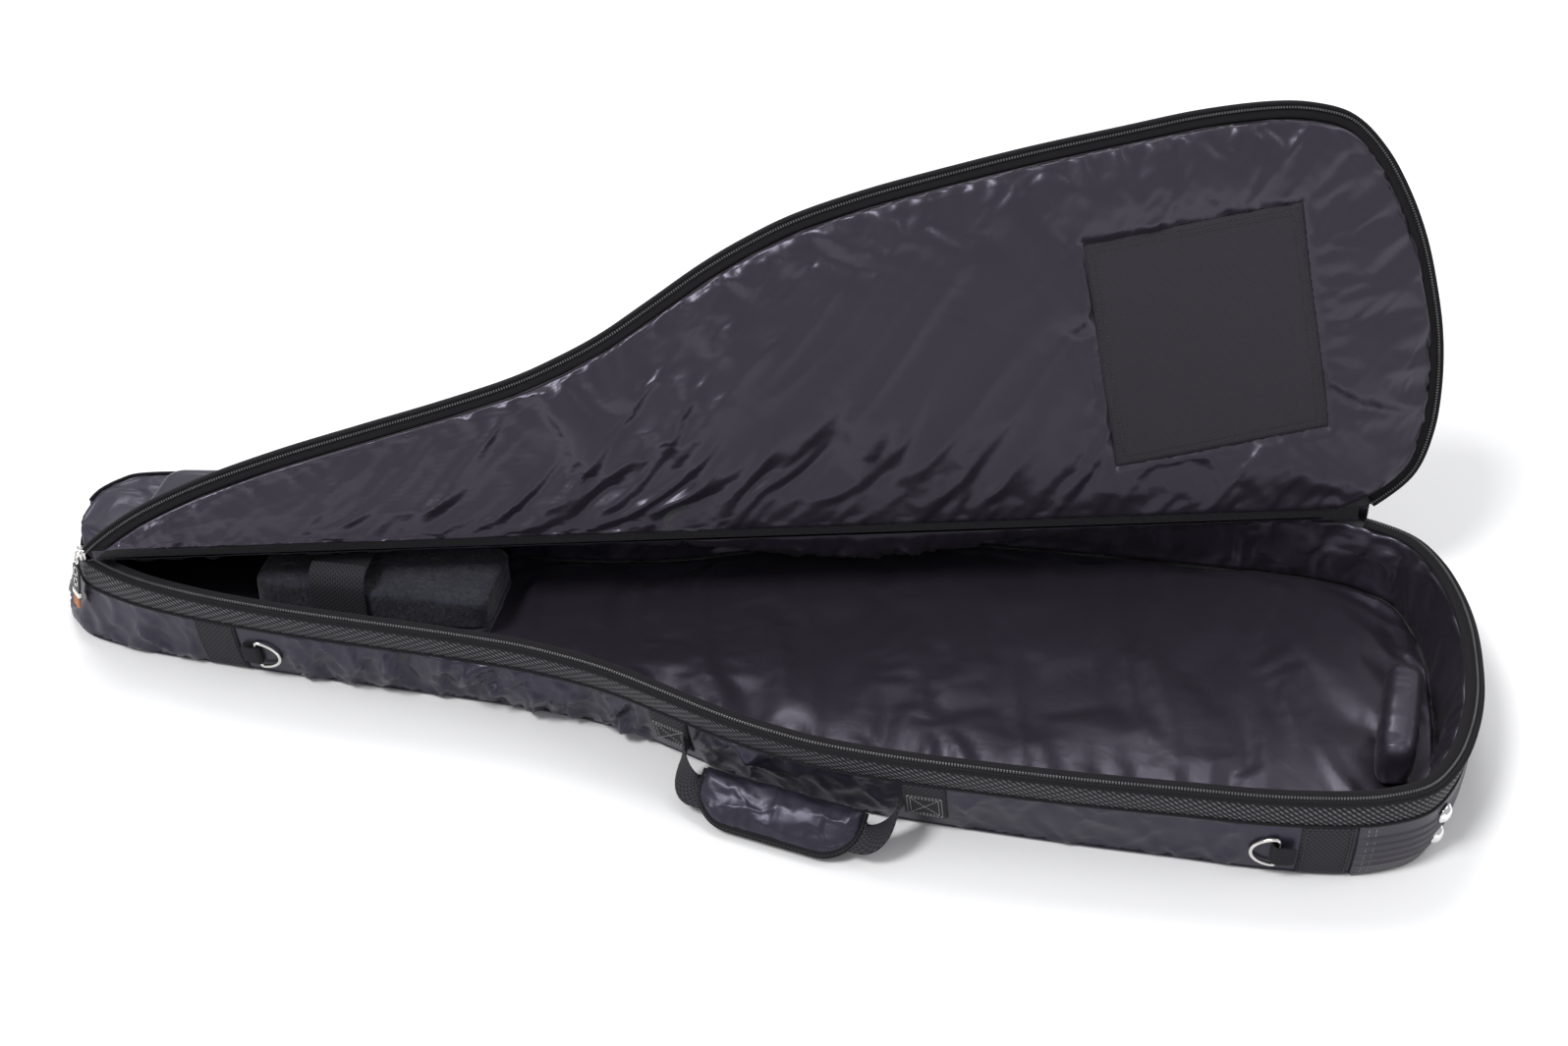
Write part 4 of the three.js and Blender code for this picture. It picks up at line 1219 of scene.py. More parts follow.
def add_hinge_lining():
    """Lining from the lid's crease, under the strip, to the far wall, with the slack that hangs down."""
    x = np.linspace(wall(ZIP_START, 0, 0)[0] + 10, wall(ZIP_END, 0, 0)[0] - 4, 240)
    start_y = fold_y(x)
    reach = np.maximum(edge_y(x, LINING_IN, far=True), start_y + 2)
    share = np.linspace(0, 1, 34)
    gx = np.broadcast_to(x[:, None], (len(x), len(share)))
    y = start_y[:, None] * (1 - share) + reach[:, None] * share
    hang = 5 + 30 * np.exp(-(((x - 90) / 130) ** 2)) + 9 * np.exp(-(((x - 330) / 160) ** 2))
    drop = np.minimum(hang, 0.55 * (reach - start_y) + 4)[:, None] * np.sin(math.pi * share**0.5)
    ripple = 2.5 * creases(gx / 34, share[None] * 2.0, 61) * np.sin(math.pi * share)
    points = np.stack([gx, y, LID_TOP - LID_DEPTH - 0.5 - drop - ripple], axis=-1)
    down_it = np.zeros(gx.shape)
    down_it[:, 1:] = np.cumsum(np.linalg.norm(np.diff(points, axis=1), axis=2), axis=1)
    obj = grid("hinge_lining_cloth", points, (gx, down_it), flip=True)
    v = np.broadcast_to(share, gx.shape)
    held = ((v < 0.01) | (v > 0.99) | (gx < x[1]) | (gx > x[-2])).astype(float)
    down = np.broadcast_to([0.0, 0.0, -1.0], points.shape)
    chance = np.random.default_rng(31)
    lines = []
    for at in np.arange(x[0] + 30, x[-1] - 30, 26):
        end = (at + chance.uniform(-50, 60), chance.uniform(30, 110))
        lines.append(((at, 0), end, chance.uniform(-0.2, 0.2), chance.uniform(3, 6), chance.uniform(1.5, 4)))
    detail = strokes(gx, down_it, lines) * (1 - held) * np.clip((reach - start_y) / 30, 0, 1)[:, None]
    add_cloth(obj, held, 0.05 * np.ones_like(v), down, (-3.0, 8.0), bending=0.1, pressure=0.1, detail=detail)
    return obj


def patch_coords(x, y):
    """Plan coordinates on the closed lid, from -1 to 1 across the patch and up it."""
    dx, dy = x - PATCH_CENTRE[0], y - PATCH_CENTRE[1]
    c, s = math.cos(PATCH_TURN), math.sin(PATCH_TURN)
    return (dx * c + dy * s) / PATCH_HALF[0], (dy * c - dx * s) / PATCH_HALF[1]


def add_bridge_patch():
    """The heavy square where the lid rests on the bridge, sewn down twice round."""
    centre, half = PATCH_CENTRE, PATCH_HALF
    across = np.array([math.cos(PATCH_TURN), math.sin(PATCH_TURN)])
    upward = np.array([-across[1], across[0]])
    a, b = np.meshgrid(np.linspace(-1, 1, 60), np.linspace(-1, 1, 62), indexing="ij")
    level = LID_TOP - LID_DEPTH - 1.4

    def at(a, b, lift):
        plan = centre + (a * half[0])[..., None] * across + (b * half[1])[..., None] * upward
        return np.concatenate([plan, (level - np.broadcast_to(lift, a.shape))[..., None]], axis=-1)

    soft = 1.2 * lattice_noise(a * 2 + 3, b * 2 + 5, 71)
    edge = 0.8 * np.clip(1 - np.minimum(1 - np.abs(a), 1 - np.abs(b)) * 40, 0, 1)
    points = at(a, b, soft - edge)
    obj = grid("bridge_patch_canvas", turn_open(points), (a * half[0], b * half[1]), flip=True)
    thicken(obj, 1.2)
    place(obj, "lid", "canvas", ["bridge_patch"])
    runs = []
    for inset in (4.0, 9.0):
        reach = 1 - inset / half
        corners = [(-1, -1), (1, -1), (1, 1), (-1, 1), (-1, -1)]
        for (a0, b0), (a1, b1) in zip(corners, corners[1:]):
            share = np.linspace(0, 1, 40)
            pa = (a0 + (a1 - a0) * share) * reach[0]
            pb = (b0 + (b1 - b0) * share) * reach[1]
            lift = 1.2 * lattice_noise(pa * 2 + 3, pb * 2 + 5, 71) + 0.25
            path = turn_open(at(pa, pb, lift))
            runs.append(stitch_run(path, np.broadcast_to(LID_DOWN, path.shape)))
    sew("bridge_patch_stitches", runs, "lid", "dark_thread")


# ---------- wall fittings ----------

def wall_patch(name, x_range, z_range, thickness, columns=10, count=12):
    """A patch on the near wall with softened edges: a front and a back, joined round their edges."""
    start, end = (station_at(x) for x in x_range)
    t, lengths = even_stations(start, end, (x_range[1] - x_range[0]) / columns)
    z = np.linspace(*z_range, count)
    edge = np.minimum(np.arange(len(t)), np.arange(len(t))[::-1])[:, None]
    rim = np.minimum(np.arange(count), np.arange(count)[::-1])[None]
    round_off = np.where((edge == 0) | (rim == 0), 0.45, 1.0)
    base = 0.3 + belly(z)[None]
    s = base + thickness * round_off
    outer = wall(t[:, None], s, z[None])
    inner = wall(t[:, None], np.broadcast_to(base, s.shape), z[None])
    nu, nv = len(t), count
    front = grid(name, outer, uv_arrays(lengths, z))
    back = grid(name + "_back", inner, uv_arrays(lengths, z), flip=True)
    obj = join_meshes(name, [front, back])
    loop = [i * nv for i in range(nu)] + [(nu - 1) * nv + j for j in range(1, nv)]
    loop += [i * nv + nv - 1 for i in range(nu - 2, -1, -1)] + [j for j in range(nv - 2, 0, -1)]
    shape = bmesh.new()
    shape.from_mesh(obj.data)
    shape.verts.ensure_lookup_table()
    for a, b in zip(loop, loop[1:] + loop[:1]):
        shape.faces.new([shape.verts[k] for k in (b, a, a + nu * nv, b + nu * nv)])
    bmesh.ops.recalc_face_normals(shape, faces=shape.faces)
    for face in shape.faces:
        face.smooth = True
    shape.to_mesh(obj.data)
    shape.free()
    return obj


def wall_run(stations, heights, s):
    """A path on the wall's outside, s above it, and its outward normals, for stitching."""
    stations, heights = np.broadcast_arrays(np.asarray(stations, float), np.asarray(heights, float))
    return wall(stations, 0.3 + s + belly(heights), heights), outward_normals(RIM_LOOP, stations)


def add_bands():
    """The two webbing bands up the near wall, stitched along both edges."""
    for end_name, x_range in BANDS.items():
        name = f"{end_name}_band"
        obj = wall_patch(name, x_range, (WALL_FOOT, BAND_Z), 2.0)
        place(obj, "root", "strap", [f"side_band_{end_name}"])
        start, end = (station_at(x) for x in x_range)
        inset = (end - start) * 0.07
        heights = np.linspace(5, BAND_Z - 2, 20)
        runs = [stitch_run(*wall_run(station, heights, 2.3)) for station in (start + inset, end - inset)]
        sew(name + "_stitches", runs, "root", "dark_thread")


def add_tail_guard():
    """Ribbed vinyl round the tail, double stitched at both ends."""
    start = station_at(TAIL_GUARD_X)
    t, lengths = even_stations(start, STATIONS - start, 6)
    z = np.linspace(2.6, BAND_Z - 0.2, 57)
    ribs = 6
    phase = (z - 6) / (BAND_Z - 10) * ribs
    nearest = np.round(phase)
    ridge = np.exp(-(((phase - nearest) / 0.15) ** 2)) * (nearest >= 0.5) * (nearest <= ribs - 0.5)
    edge = np.minimum(lengths - lengths[0], lengths[-1] - lengths)
    fade = np.clip((edge - 2) / 4, 0.0, 1)[:, None]

    def swell(height):
        return 2.4 * np.sin(math.pi * (height - z[0]) / (z[-1] - z[0]))

    s = 2.4 + swell(z)[None] + 1.5 * ridge[None] * fade
    obj = ring_surface("tail_guard_vinyl", t, lengths, s, np.broadcast_to(z, s.shape), False, 1.6)
    place(obj, "root", "vinyl", ["tail_guard"])
    runs = []
    heights = np.linspace(5, BAND_Z - 2, 24)
    for offset in (7.0, 12.5):
        for station in np.interp([lengths[0] + offset, lengths[-1] - offset], lengths, t):
            stations = np.full(24, station)
            path = wall(stations, 2.6 + swell(heights), heights)
            runs.append(stitch_run(path, outward_normals(RIM_LOOP, stations), 4.0))
    sew("tail_guard_stitches", runs, "root", "grey_thread")


def lathe(name, profile, origin, axis, sides=40):
    """A turned piece: [radius, height] points about an axis."""
    axis = np.asarray(axis, float) / np.linalg.norm(axis)
    side = np.cross(axis, [0.3, 0.2, 1.0])
    side /= np.linalg.norm(side)
    other = np.cross(axis, side)
    angle = np.linspace(0, 2 * math.pi, sides, endpoint=False)
    profile = np.asarray(profile, float)
    ring = np.cos(angle)[:, None] * side + np.sin(angle)[:, None] * other
    points = np.asarray(origin) + profile[None, :, 0, None] * ring[:, None] + profile[None, :, 1, None] * axis
    obj = grid(name, points, uv_arrays(angle.tolist() + [2 * math.pi], profile[:, 1]), wrap_u=True)
    return clean(obj)


def add_feet():
    """Domed metal feet on the tail guard."""
    flange = [(0.01, 0), (8.3, 0), (8.5, 0.5), (8.4, 1.3), (7.9, 2.1), (7.3, 2.6)]
    dome = [(6.6, 3.6), (5.4, 4.7), (3.8, 5.5), (2.0, 5.9), (0.9, 5.95), (0.8, 5.6), (0.01, 5.5)]
    for k in range(1, 5):
        node = f"tail_foot_{k}"
        low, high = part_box(node)
        middle = np.array((low + high) / 2) / MM
        station = FOOT_STATION if middle[1] < 0 else STATIONS - FOOT_STATION
        origin, _, _, out = wall_basis(station, 3.9, middle[2])
        foot = lathe(f"tail_stud_{k}", flange + dome, origin, out)
        place(foot, "root", "chrome", [node])


def add_d_ring(name, node, tab_node, joint, towards, body):
    """A bent-wire D-ring in its webbing tab, on the joint's axis."""
    pivot = pivot_of(joint)
    up = np.array(JOINTS[joint]["axis"])
    up = up / np.linalg.norm(up) * (1 if up[2] > 0 else -1)
    out = wall_basis(station_at(pivot[0]), 0, pivot[2])[3]
    along = np.cross(up, out)
    along /= np.linalg.norm(along) * (1 if along[0] > 0 else -1)
    out = np.cross(along, up)
    half, bow, wire, corner = 15, 20, 1.6, 3.5
    bend = [(corner * (1 - math.cos(a)), half - corner + corner * math.sin(a)) for a in np.linspace(0.2, 1.3, 5)]
    path = [(0, -half + corner), (0, 0), (0, half - corner), *bend]
    path += [(bow * math.sin(a), half * math.cos(a)) for a in np.linspace(0.28, math.pi - 0.28, 25)]
    path += [(x, -y) for x, y in reversed(bend)]
    points = np.array([pivot + towards * x * along + y * up for x, y in path])
    ring = tube(f"{name}_wire", points, wire, sides=14, closed=True, up=out)
    thicken(ring, 0, 1)
    place(ring, body, "nickel", [node])
    # The tab: a folded strip of webbing round the straight bar.
    outer, width, leg = 3.5, 20.5, 14
    angle = np.linspace(math.pi / 2, 3 * math.pi / 2, 10)
    round_bar = [(outer * math.cos(a), outer * math.sin(a)) for a in angle]
    line = [(leg, outer * 0.72), (5, outer * 0.9), *round_bar, (5, -outer * 0.9), (leg, -outer * 0.72)]
    line = np.array(line)
    v = np.linspace(-width / 2, width / 2, 9)
    fold = pivot + (-towards * line[:, None, 0, None]) * along + line[:, None, 1, None] * out
    sheet = fold + v[None, :, None] * up
    lengths = path_length(line)
    tab = grid(f"{name}_tab", sheet, uv_arrays(lengths, v))
    thicken(tab, 1.3, 1)
    place(tab, "root", "webbing", [tab_node])


def add_handle_patches():
    """Webbing ends sewn to the wall, with a boxed cross of stitches."""
    low, high = 19, 43
    for end_name, x_range in HANDLE_ANCHORS.items():
        name = f"handle_anchor_{end_name}"
        obj = wall_patch(name, x_range, (16, BAND_Z), 2.2)
        place(obj, "root", "strap", [f"handle_patch_{end_name}"])
        start, end = (station_at(x) for x in x_range)
        left, right = start + (end - start) * 0.1, end - (end - start) * 0.1
        lines = []
        for inset in (0.0, 0.09):
            a, b = left + (right - left) * inset, right - (right - left) * inset
            c, d = low + (high - low) * inset, high - (high - low) * inset
            lines += [(a, c, b, c), (b, c, b, d), (b, d, a, d), (a, d, a, c)]
        lines += [(left, low, right, high), (left, high, right, low)]
        runs = [
            stitch_run(*wall_run(np.linspace(t0, t1, 12), np.linspace(z0, z1, 12), 2.5), 2.6)
            for t0, z0, t1, z1 in lines
        ]
        sew(name + "_stitches", runs, "root", "grey_thread", 0.5)


# ---------- handle ----------

def unit(v):
    """A vector, or each row of vectors, made one long."""
    v = np.asarray(v, float)
    return v / np.linalg.norm(v, axis=-1, keepdims=True)


def local(origin, axes, points):
    """Local coordinates to the bag's own."""
    return np.asarray(origin) + np.asarray(points, float) @ np.array(axes)


def smooth_path(controls, count):
    """A smooth open curve through its controls."""
    controls = np.asarray(controls, float)
    loop = np.vstack([controls, 2 * controls[-1] - controls[-2], 2 * controls[0] - controls[1]])
    return periodic(loop, np.linspace(0, len(controls) - 1, count))


def strap(name, path, wide, width, thickness):
    """A woven strap along a path, with its width along wide."""
    path, wide = np.asarray(path, float), unit(wide)
    along = unit(np.gradient(path, axis=0))
    thin = unit(np.cross(along, wide))
    angle = np.linspace(0, 2 * math.pi, 20, endpoint=False)
    a, b = np.cos(angle), np.sin(angle)
    a, b = np.sign(a) * np.abs(a) ** 0.35, np.sign(b) * np.abs(b) ** 0.5
    points = path[:, None] + (a * width / 2)[None, :, None] * wide[:, None]
    points = points + (b * thickness / 2)[None, :, None] * thin[:, None]
    obj = grid(name, points, uv_arrays(path_length(path), np.append(a, a[0]) * width / 2), wrap_v=True)
    cap_ends(obj, len(path), len(angle))
    return obj


def handle_frame():
    """The handle's origin and axes: along the wall, out to its free edge, and square to both; and its span."""
    u = -np.array(JOINTS["handle_swing"]["axis"])
    drop = math.radians(HANDLE_DROP)
    v = math.cos(drop) * np.array([u[1], -u[0], 0]) - math.sin(drop) * np.array([0, 0, 1])
    origin = pivot_of("handle_swing")
    reach = np.array([p.co for p in frame["nodes"]["handle_strap"].data.vertices]) / MM
    return origin, (u, v, np.cross(u, v)), float(((reach - origin) @ u).max() - 1.1)




def grip_edge(u, length):
    """Where the grip's free edge lies, rounded at its two corners."""
    short = np.clip(GRIP_ROUND - np.minimum(u, length - u), 0, GRIP_ROUND)
    return GRIP[1] - (GRIP_ROUND - np.sqrt(GRIP_ROUND**2 - short**2))


def add_grip_sheets(origin, axes, start):
    """The two faces of the padded grip: a high crest near the strap, thin at the bound edge."""
    u = end_spaced(0, GRIP_LENGTH, 70)
    b = np.linspace(0, 1, 30)
    gu = np.broadcast_to(u[:, None], (len(u), len(b)))
    gv = GRIP[0] + (grip_edge(u, GRIP_LENGTH)[:, None] - GRIP[0]) * b[None]
    end = np.clip(np.minimum(gu, GRIP_LENGTH - gu) / 9, 0, 1)
    swell = np.sin(math.pi * b[None] ** 0.62) ** 0.65 * (1 - (1 - end) ** 2.2) ** 0.5
    sheets = []
    for name, side, height in (("grip_face", -1, 8.6), ("grip_back", 1, 5.6)):
        pucker = creases(gu / 26, gv / 30, 81 + side) * np.sin(math.pi * b[None]) * end
        gather = creases(gu / 10, gv / 40, 85) * np.exp(-(((b[None] - 0.84) / 0.14) ** 2)) * end
        w = side * (height * swell + 1.6 * pucker + 1.8 * gather)
        points = local(origin, axes, np.stack([gu + start, gv, w], axis=-1))
        obj = grid(name, points, (gu, gv + 0 * gu), flip=side > 0)
        held = ((b[None] < 0.01) | (b[None] > 0.93) | (end < 0.05)).astype(float) + 0 * gu
        out = np.broadcast_to(side * axes[2], points.shape)
        add_cloth(obj, held, 0.02 + 0 * gu, out, (-1.0, 1.6), bending=0.1, pressure=1.2)
        sheets.append(obj)
    return sheets


def add_handle(sheets, origin, axes, span, start):
    """The grip from its two settled faces, the webbing through it, and the stitched tape round its edge."""
    grip = clean(join_meshes("handle_pad", sheets))
    place(grip, "handle", "nylon", ["handle_grip"])
    middle, reach = 41.0, 20.0
    turn = np.linspace(0, math.pi / 2, 16)
    end = np.stack([reach * (1 - np.cos(turn)), 4 + (middle - 4) * np.sin(turn)], axis=1)
    level = np.linspace(reach, span - reach, 12)[1:-1]
    plan = np.vstack([end, np.stack([level, np.full(10, middle)], axis=1), (end * [-1, 1] + [span, 0])[::-1]])
    along = unit(np.gradient(plan, axis=0))
    twist = np.concatenate([turn, np.full(10, math.pi / 2), math.pi - turn[::-1]])
    across = np.stack([-along[:, 1], along[:, 0], 0 * twist], axis=1) * np.sin(twist)[:, None]
    wide = across + np.cos(twist)[:, None] * [0, 0, 1]
    path = local(origin, axes, np.column_stack([plan, 0 * twist]))
    loop = strap("handle_webbing", path, wide @ np.array(axes), 26, 2.4)
    place(loop, "handle", "strap", ["handle_strap"])
    radius, level = GRIP_ROUND - 1, GRIP[1] - 1
    left = [(1.0, v) for v in np.linspace(GRIP[0] + 2, level - radius, 6)]
    corner = np.linspace(0, math.pi / 2, 16)[1:]
    left += [(1 + radius - radius * math.cos(a), level - radius + radius * math.sin(a)) for a in corner]
    bottom = [(u, level) for u in np.linspace(1 + radius, GRIP_LENGTH - 1 - radius, 30)[1:-1]]
    right = [(GRIP_LENGTH - u, v) for u, v in reversed(left)]
    edge = np.array([(u, v, 0.0) for u, v in left + bottom + right]) + [start, 0, 0]
    inward = unit(np.cross(np.gradient(edge, axis=0), [0, 0, 1.0]))
    tape = strap("handle_edge_tape", local(origin, axes, edge + inward * 1.0), -inward @ np.array(axes), 9.5, 5.2)
    place(tape, "handle", "binding", ["handle_binding"])
    runs = []
    for lift in (-1, 1):
        run = local(origin, axes, edge[4:-4] - inward[4:-4] * 2.2 + [0, 0, lift * 2.5])
        runs.append(stitch_run(run, np.broadcast_to(lift * axes[2], run.shape), 3.0))
    sew("handle_tape_stitches", runs, "handle", "dark_thread", 0.35)


# ---------- inside the main compartment ----------

def puffed_box(name, half, roundness, count, shape, centre, axes=np.eye(3)):
    """A stuffed block: a cube's surface rounded off, then moved outward by shape(point, outward)."""
    line = np.linspace(-1, 1, count)
    a, b = np.meshgrid(line, line, indexing="ij")
    one = np.ones_like(a)
    faces = [(one, a, b), (-one, b, a), (b, one, a), (a, -one, b), (a, b, one), (b, a, -one)]
    sides = []
    for k, cube in enumerate(faces):
        cube = np.stack(cube, axis=-1)
        cube = np.sign(cube) * np.abs(cube) ** 0.8
        point = cube / (np.abs(cube) ** roundness).sum(-1, keepdims=True) ** (1 / roundness)
        outward = unit(np.sign(point) * np.abs(point) ** (roundness - 1) / np.array(half))
        point = point * half
        point = point + outward * shape(point, outward)[..., None]
        uv = (a * max(half), b * max(half))
        sides.append(grid(f"{name}_{k}", local(centre, axes, point), uv))
    return clean(join_meshes(name, sides))


def add_neck_rest():
    """The plush block, the strap over it and the strap's free end."""
    low, high = node_box("neck_rest_block")
    centre, half = (low + high) / 2, (high - low) / 2

    def plush(point, outward):
        lumps = lattice_noise(point[..., 0] / 24, point[..., 1] / 20 + point[..., 2] / 17, 91)
        strapped = np.exp(-(((point[..., 0] + 26) / 30) ** 4)) * (outward[..., 2] > 0.5)
        seam = np.exp(-(((point[..., 2] + 9) / 1.6) ** 2)) * (np.abs(outward[..., 2]) < 0.6)
        return 1.6 * lumps - 1.6 * strapped - 2.0 * seam - 0.8

    block = puffed_box("neck_rest_pad", half, 10, 48, plush, centre)
    place(block, "root", "fleece", ["neck_rest_block"])
    foot = 18.2
    over = [[46.3, foot], [46.4, 45], [46, 66], [42, 72.3], [34, 74.8], [10, 75.4], [-10, 75.2]]
    over += [[-24, 74.6], [-32, 72.0]]
    near = [[-43.9, foot], [-43.6, 40], [-42.8, 60], [-40.8, 68], [-36, 74.6], [-27, 77.3]]
    root = [[-46.6, foot], [-46.9, 26], [-46.2, 33]]
    low_x, high_x = (corner[0] for corner in node_box("neck_strap_over"))
    for name, line, shift, look, body, nodes in (
        ("neck_strap_smooth", over, 0, "webbing", "root", ["neck_strap_over"]),
        ("neck_strap_ribbed", near, 0, "strap", "neck_flap", ["neck_strap_near"]),
        ("neck_strap_root", root, 3, "strap", "root", []),
    ):
        line = smooth_path(line, 12 * len(line))
        sway = 0.5 * np.sin(line[:, 0] / 9)
        path = np.column_stack([np.full(len(line), (low_x + high_x) / 2 + shift) + sway, line])
        obj = strap(name, path, np.broadcast_to([1.0, 0, 0], path.shape), high_x - low_x, 1.7)
        place(obj, body, look, nodes)
        hem = path[-8:] if name != "neck_strap_smooth" else path[-9:-1]
        normal = unit(np.cross([1.0, 0, 0], np.gradient(path, axis=0)))[-5]
        normal = normal * (1 if normal[2] > 0 or normal[1] < -0.5 else -1)
        row = np.linspace(low_x + 3, high_x - 3, 20)
        for k in (-7, -4):
            run = np.column_stack([row + shift, np.full(20, hem[k][1]), np.full(20, hem[k][2])]) + normal * 0.9
            runs = [stitch_run(run, np.broadcast_to(normal, run.shape))]
            sew(f"{name}_hem_{-k}", runs, body, "dark_thread", 0.35)


def add_tail_pillow():
    """The soft pillow against the tail wall, puckered at its ends."""
    def pillow(point, _):
        end = np.clip(np.abs(point[..., 0]) / 55, 0, 1) ** 3
        pucker = creases(point[..., 0] / 16, point[..., 2] / 30 + point[..., 1] / 24, 93)
        return 1.0 + 2.4 * pucker * (0.35 + end) - 1.5

    turn = math.radians(84)
    axes = [(math.cos(turn), math.sin(turn), 0), (-math.sin(turn), math.cos(turn), 0), (0, 0, 1)]
    pad = puffed_box("tail_pillow", (57, 16, 27), 3.4, 44, pillow, sum(node_box("tail_pad")) / 2, axes)
    place(pad, "root", "lining", ["tail_pad"])


# ---------- zip sliders and pulls ----------

def plate(name, outline, holes, thickness, bevel, origin, axes, centre=0.0):
    """A flat piece with rounded edges, cut to an outline with holes."""
    curve = bpy.data.curves.new(name, "CURVE")
    curve.dimensions = "2D"
    curve.fill_mode = "BOTH"
    curve.extrude = thickness / 2 - bevel
    curve.bevel_depth = bevel
    curve.bevel_resolution = 2
    curve.offset = -bevel
    for loop in [outline, *holes]:
        spline = curve.splines.new("POLY")
        spline.points.add(len(loop) - 1)
        for point, (x, y) in zip(spline.points, loop):
            point.co = (x, y, 0, 1)
        spline.use_cyclic_u = True
    source = bpy.data.objects.new(name, curve)
    bpy.context.scene.collection.objects.link(source)
    mesh = bpy.data.meshes.new_from_object(source.evaluated_get(bpy.context.evaluated_depsgraph_get()))
    bpy.data.objects.remove(source)
    points = coordinates(mesh) + [0, 0, centre]
    mesh.vertices.foreach_set("co", (local(origin, axes, points) * MM).ravel())
    obj = bpy.data.objects.new(name, mesh)
    bpy.context.scene.collection.objects.link(obj)
    return clean(obj)


def arc(x, y, rx, ry, angles):
    """Points on an oval about x, y."""
    return [(x + rx * math.cos(a), y + ry * math.sin(a)) for a in angles]


def oval(x, y, rx, ry, count=28):
    return arc(x, y, rx, ry, np.linspace(0, 2 * math.pi, count, endpoint=False))


def half_oval(x, y, rx, ry):
    return arc(x, y, rx, ry, np.linspace(0, math.pi, 14))


def round_rect(x0, x1, y0, y1, radius, steps=7):
    """The outline of a rectangle with rounded corners, anticlockwise."""
    corners = [(x1 - radius, y1 - radius), (x0 + radius, y1 - radius)]
    corners += [(x0 + radius, y0 + radius), (x1 - radius, y0 + radius)]
    quarters = [np.linspace(k, k + 1, steps) * math.pi / 2 for k in range(4)]
    return [point for (x, y), angles in zip(corners, quarters) for point in arc(x, y, radius, radius, angles)]


def slider_body(name, plan, gaps, post, origin, axes, bridge):
    """A zip slider: two rounded plates, the post between them and the bridge for its pull. The post is its plan,
    its thickness and its centre, and the bridge its path, its radius and its upward direction."""
    parts = [plate(f"{name}_plate", round_rect(*plan), [], 2.0, 0.5, origin, axes, z) for z in gaps]
    parts.append(plate(f"{name}_post", round_rect(*post[0]), [], post[1], 0.3, origin, axes, post[2]))
    parts.append(tube(f"{name}_bridge", bridge[0], bridge[1], 10, up=bridge[2]))
    return parts


def add_main_puller():
    """The slider at the head end of the zip, and the ring, holed strip, band and tab that hang from it."""
    body = "main_puller"
    # The slider sits on the rim just before the zip reaches the fold line.
    station = FINE_T[int(np.argmax(fold_distance(wall(FINE_T[:800], 0, WALL_H)) > -8))]
    _, along, up, out = wall_basis(station, 0, WALL_H / 2)
    origin = pivot_of("main_puller_swing")
    axes = (along, up, out)
    ring = local(origin, axes, [(x, y - 2.5, 0) for x, y in oval(0, 0, 3.6, 3.6, 32)])
    place(tube("puller_ring", ring, 0.9, 12, closed=True, up=out), body, "nickel", ["main_puller_ring"])
    hole_at = (-14, -25)
    holes = [oval(0, y, 3.6, 4.2) for y in hole_at]
    for name, plan, cuts, thickness, bevel, look, slot in (
        ("strip", (-6.5, 6.5, -33, -7.4, 3), holes, 2.0, 0.5, "rubber", "puller"),
        ("band", (-7, 7, -38.6, -33.3, 1), [], 3.4, 0.7, "nickel", "chrome"),
        ("tab", (-6, 6, -50, -38.9, 3), [], 2.2, 0.6, "leather", "orange"),
    ):
        piece = plate(f"puller_{name}", round_rect(*plan), cuts, thickness, bevel, origin, axes)
        place(piece, body, look, [f"main_puller_{name}"])
    for k, middle in enumerate(hole_at):
        eyelet = local(origin, axes, [(x * 0.94, middle + (y - middle) * 0.94, 0.9) for x, y in holes[k]])
        place(tube(f"puller_eyelet_{k}", eyelet, 0.5, 8, closed=True, up=out), body, "nickel")
    edge = np.array(round_rect(-4.9, 4.9, -48.9, -40, 2.2) + [(4.9, -42.2)])
    run = local(origin, axes, np.column_stack([edge, np.full(len(edge), 1.1)]))
    runs = [stitch_run(run, np.broadcast_to(out, run.shape), 1.6)]
    sew("puller_tab_stitches", runs, body, "grey_thread", 0.22)
    middle = sum(node_box("main_slider")) / 2
    _, along, _, out = wall_basis(station, 0, WALL_H)
    axes = (along, (0, 0, 1), out)
    bridge = local(middle, axes, [(x, 0, z) for x, z in half_oval(0, 2.3, 4.2, 2.6)])
    parts = slider_body(
        "slider", (-6, 6, -5, 5, 2.4), (-1.5, 1.5), ((-2, 2, -3.5, 3.5, 1), 4.6, 0.0), middle, axes,
        (bridge, 0.8, (0, 0, 1)))
    place(join_meshes("zip_slider", parts), "root", "nickel", ["main_slider"])


def pocket_outline(corners, radius, step=4.0):
    """Points round a polygon with rounded corners, and their outward normals."""
    corners = np.array(corners, float)
    points, normals = [], []
    for k, corner in enumerate(corners):
        before, after = unit(corner - corners[k - 1]), unit(corners[(k + 1) % len(corners)] - corner)
        turn = math.acos(float(np.clip(before @ after, -1, 1)))
        back = radius * math.tan(turn / 2)
        start_normal = np.array([before[1], -before[0]])
        centre = corner - before * back - start_normal * radius
        first = math.atan2(start_normal[1], start_normal[0])
        for angle in np.linspace(first, first + turn, max(3, int(turn * radius / step) + 2)):
            normals.append((math.cos(angle), math.sin(angle)))
            points.append(centre + radius * np.array(normals[-1]))
        following = corners[(k + 1) % len(corners)]
        next_after = unit(corners[(k + 2) % len(corners)] - following)
        next_back = radius * math.tan(math.acos(float(np.clip(after @ next_after, -1, 1))) / 2)
        stop = following - after * next_back
        gap = np.linalg.norm(stop - points[-1])
        for share in np.linspace(0, 1, int(gap / step) + 1, endpoint=False)[1:]:
            normals.append((after[1], -after[0]))
            points.append(stop - after * gap * (1 - share))
    return np.array(points), np.array(normals)


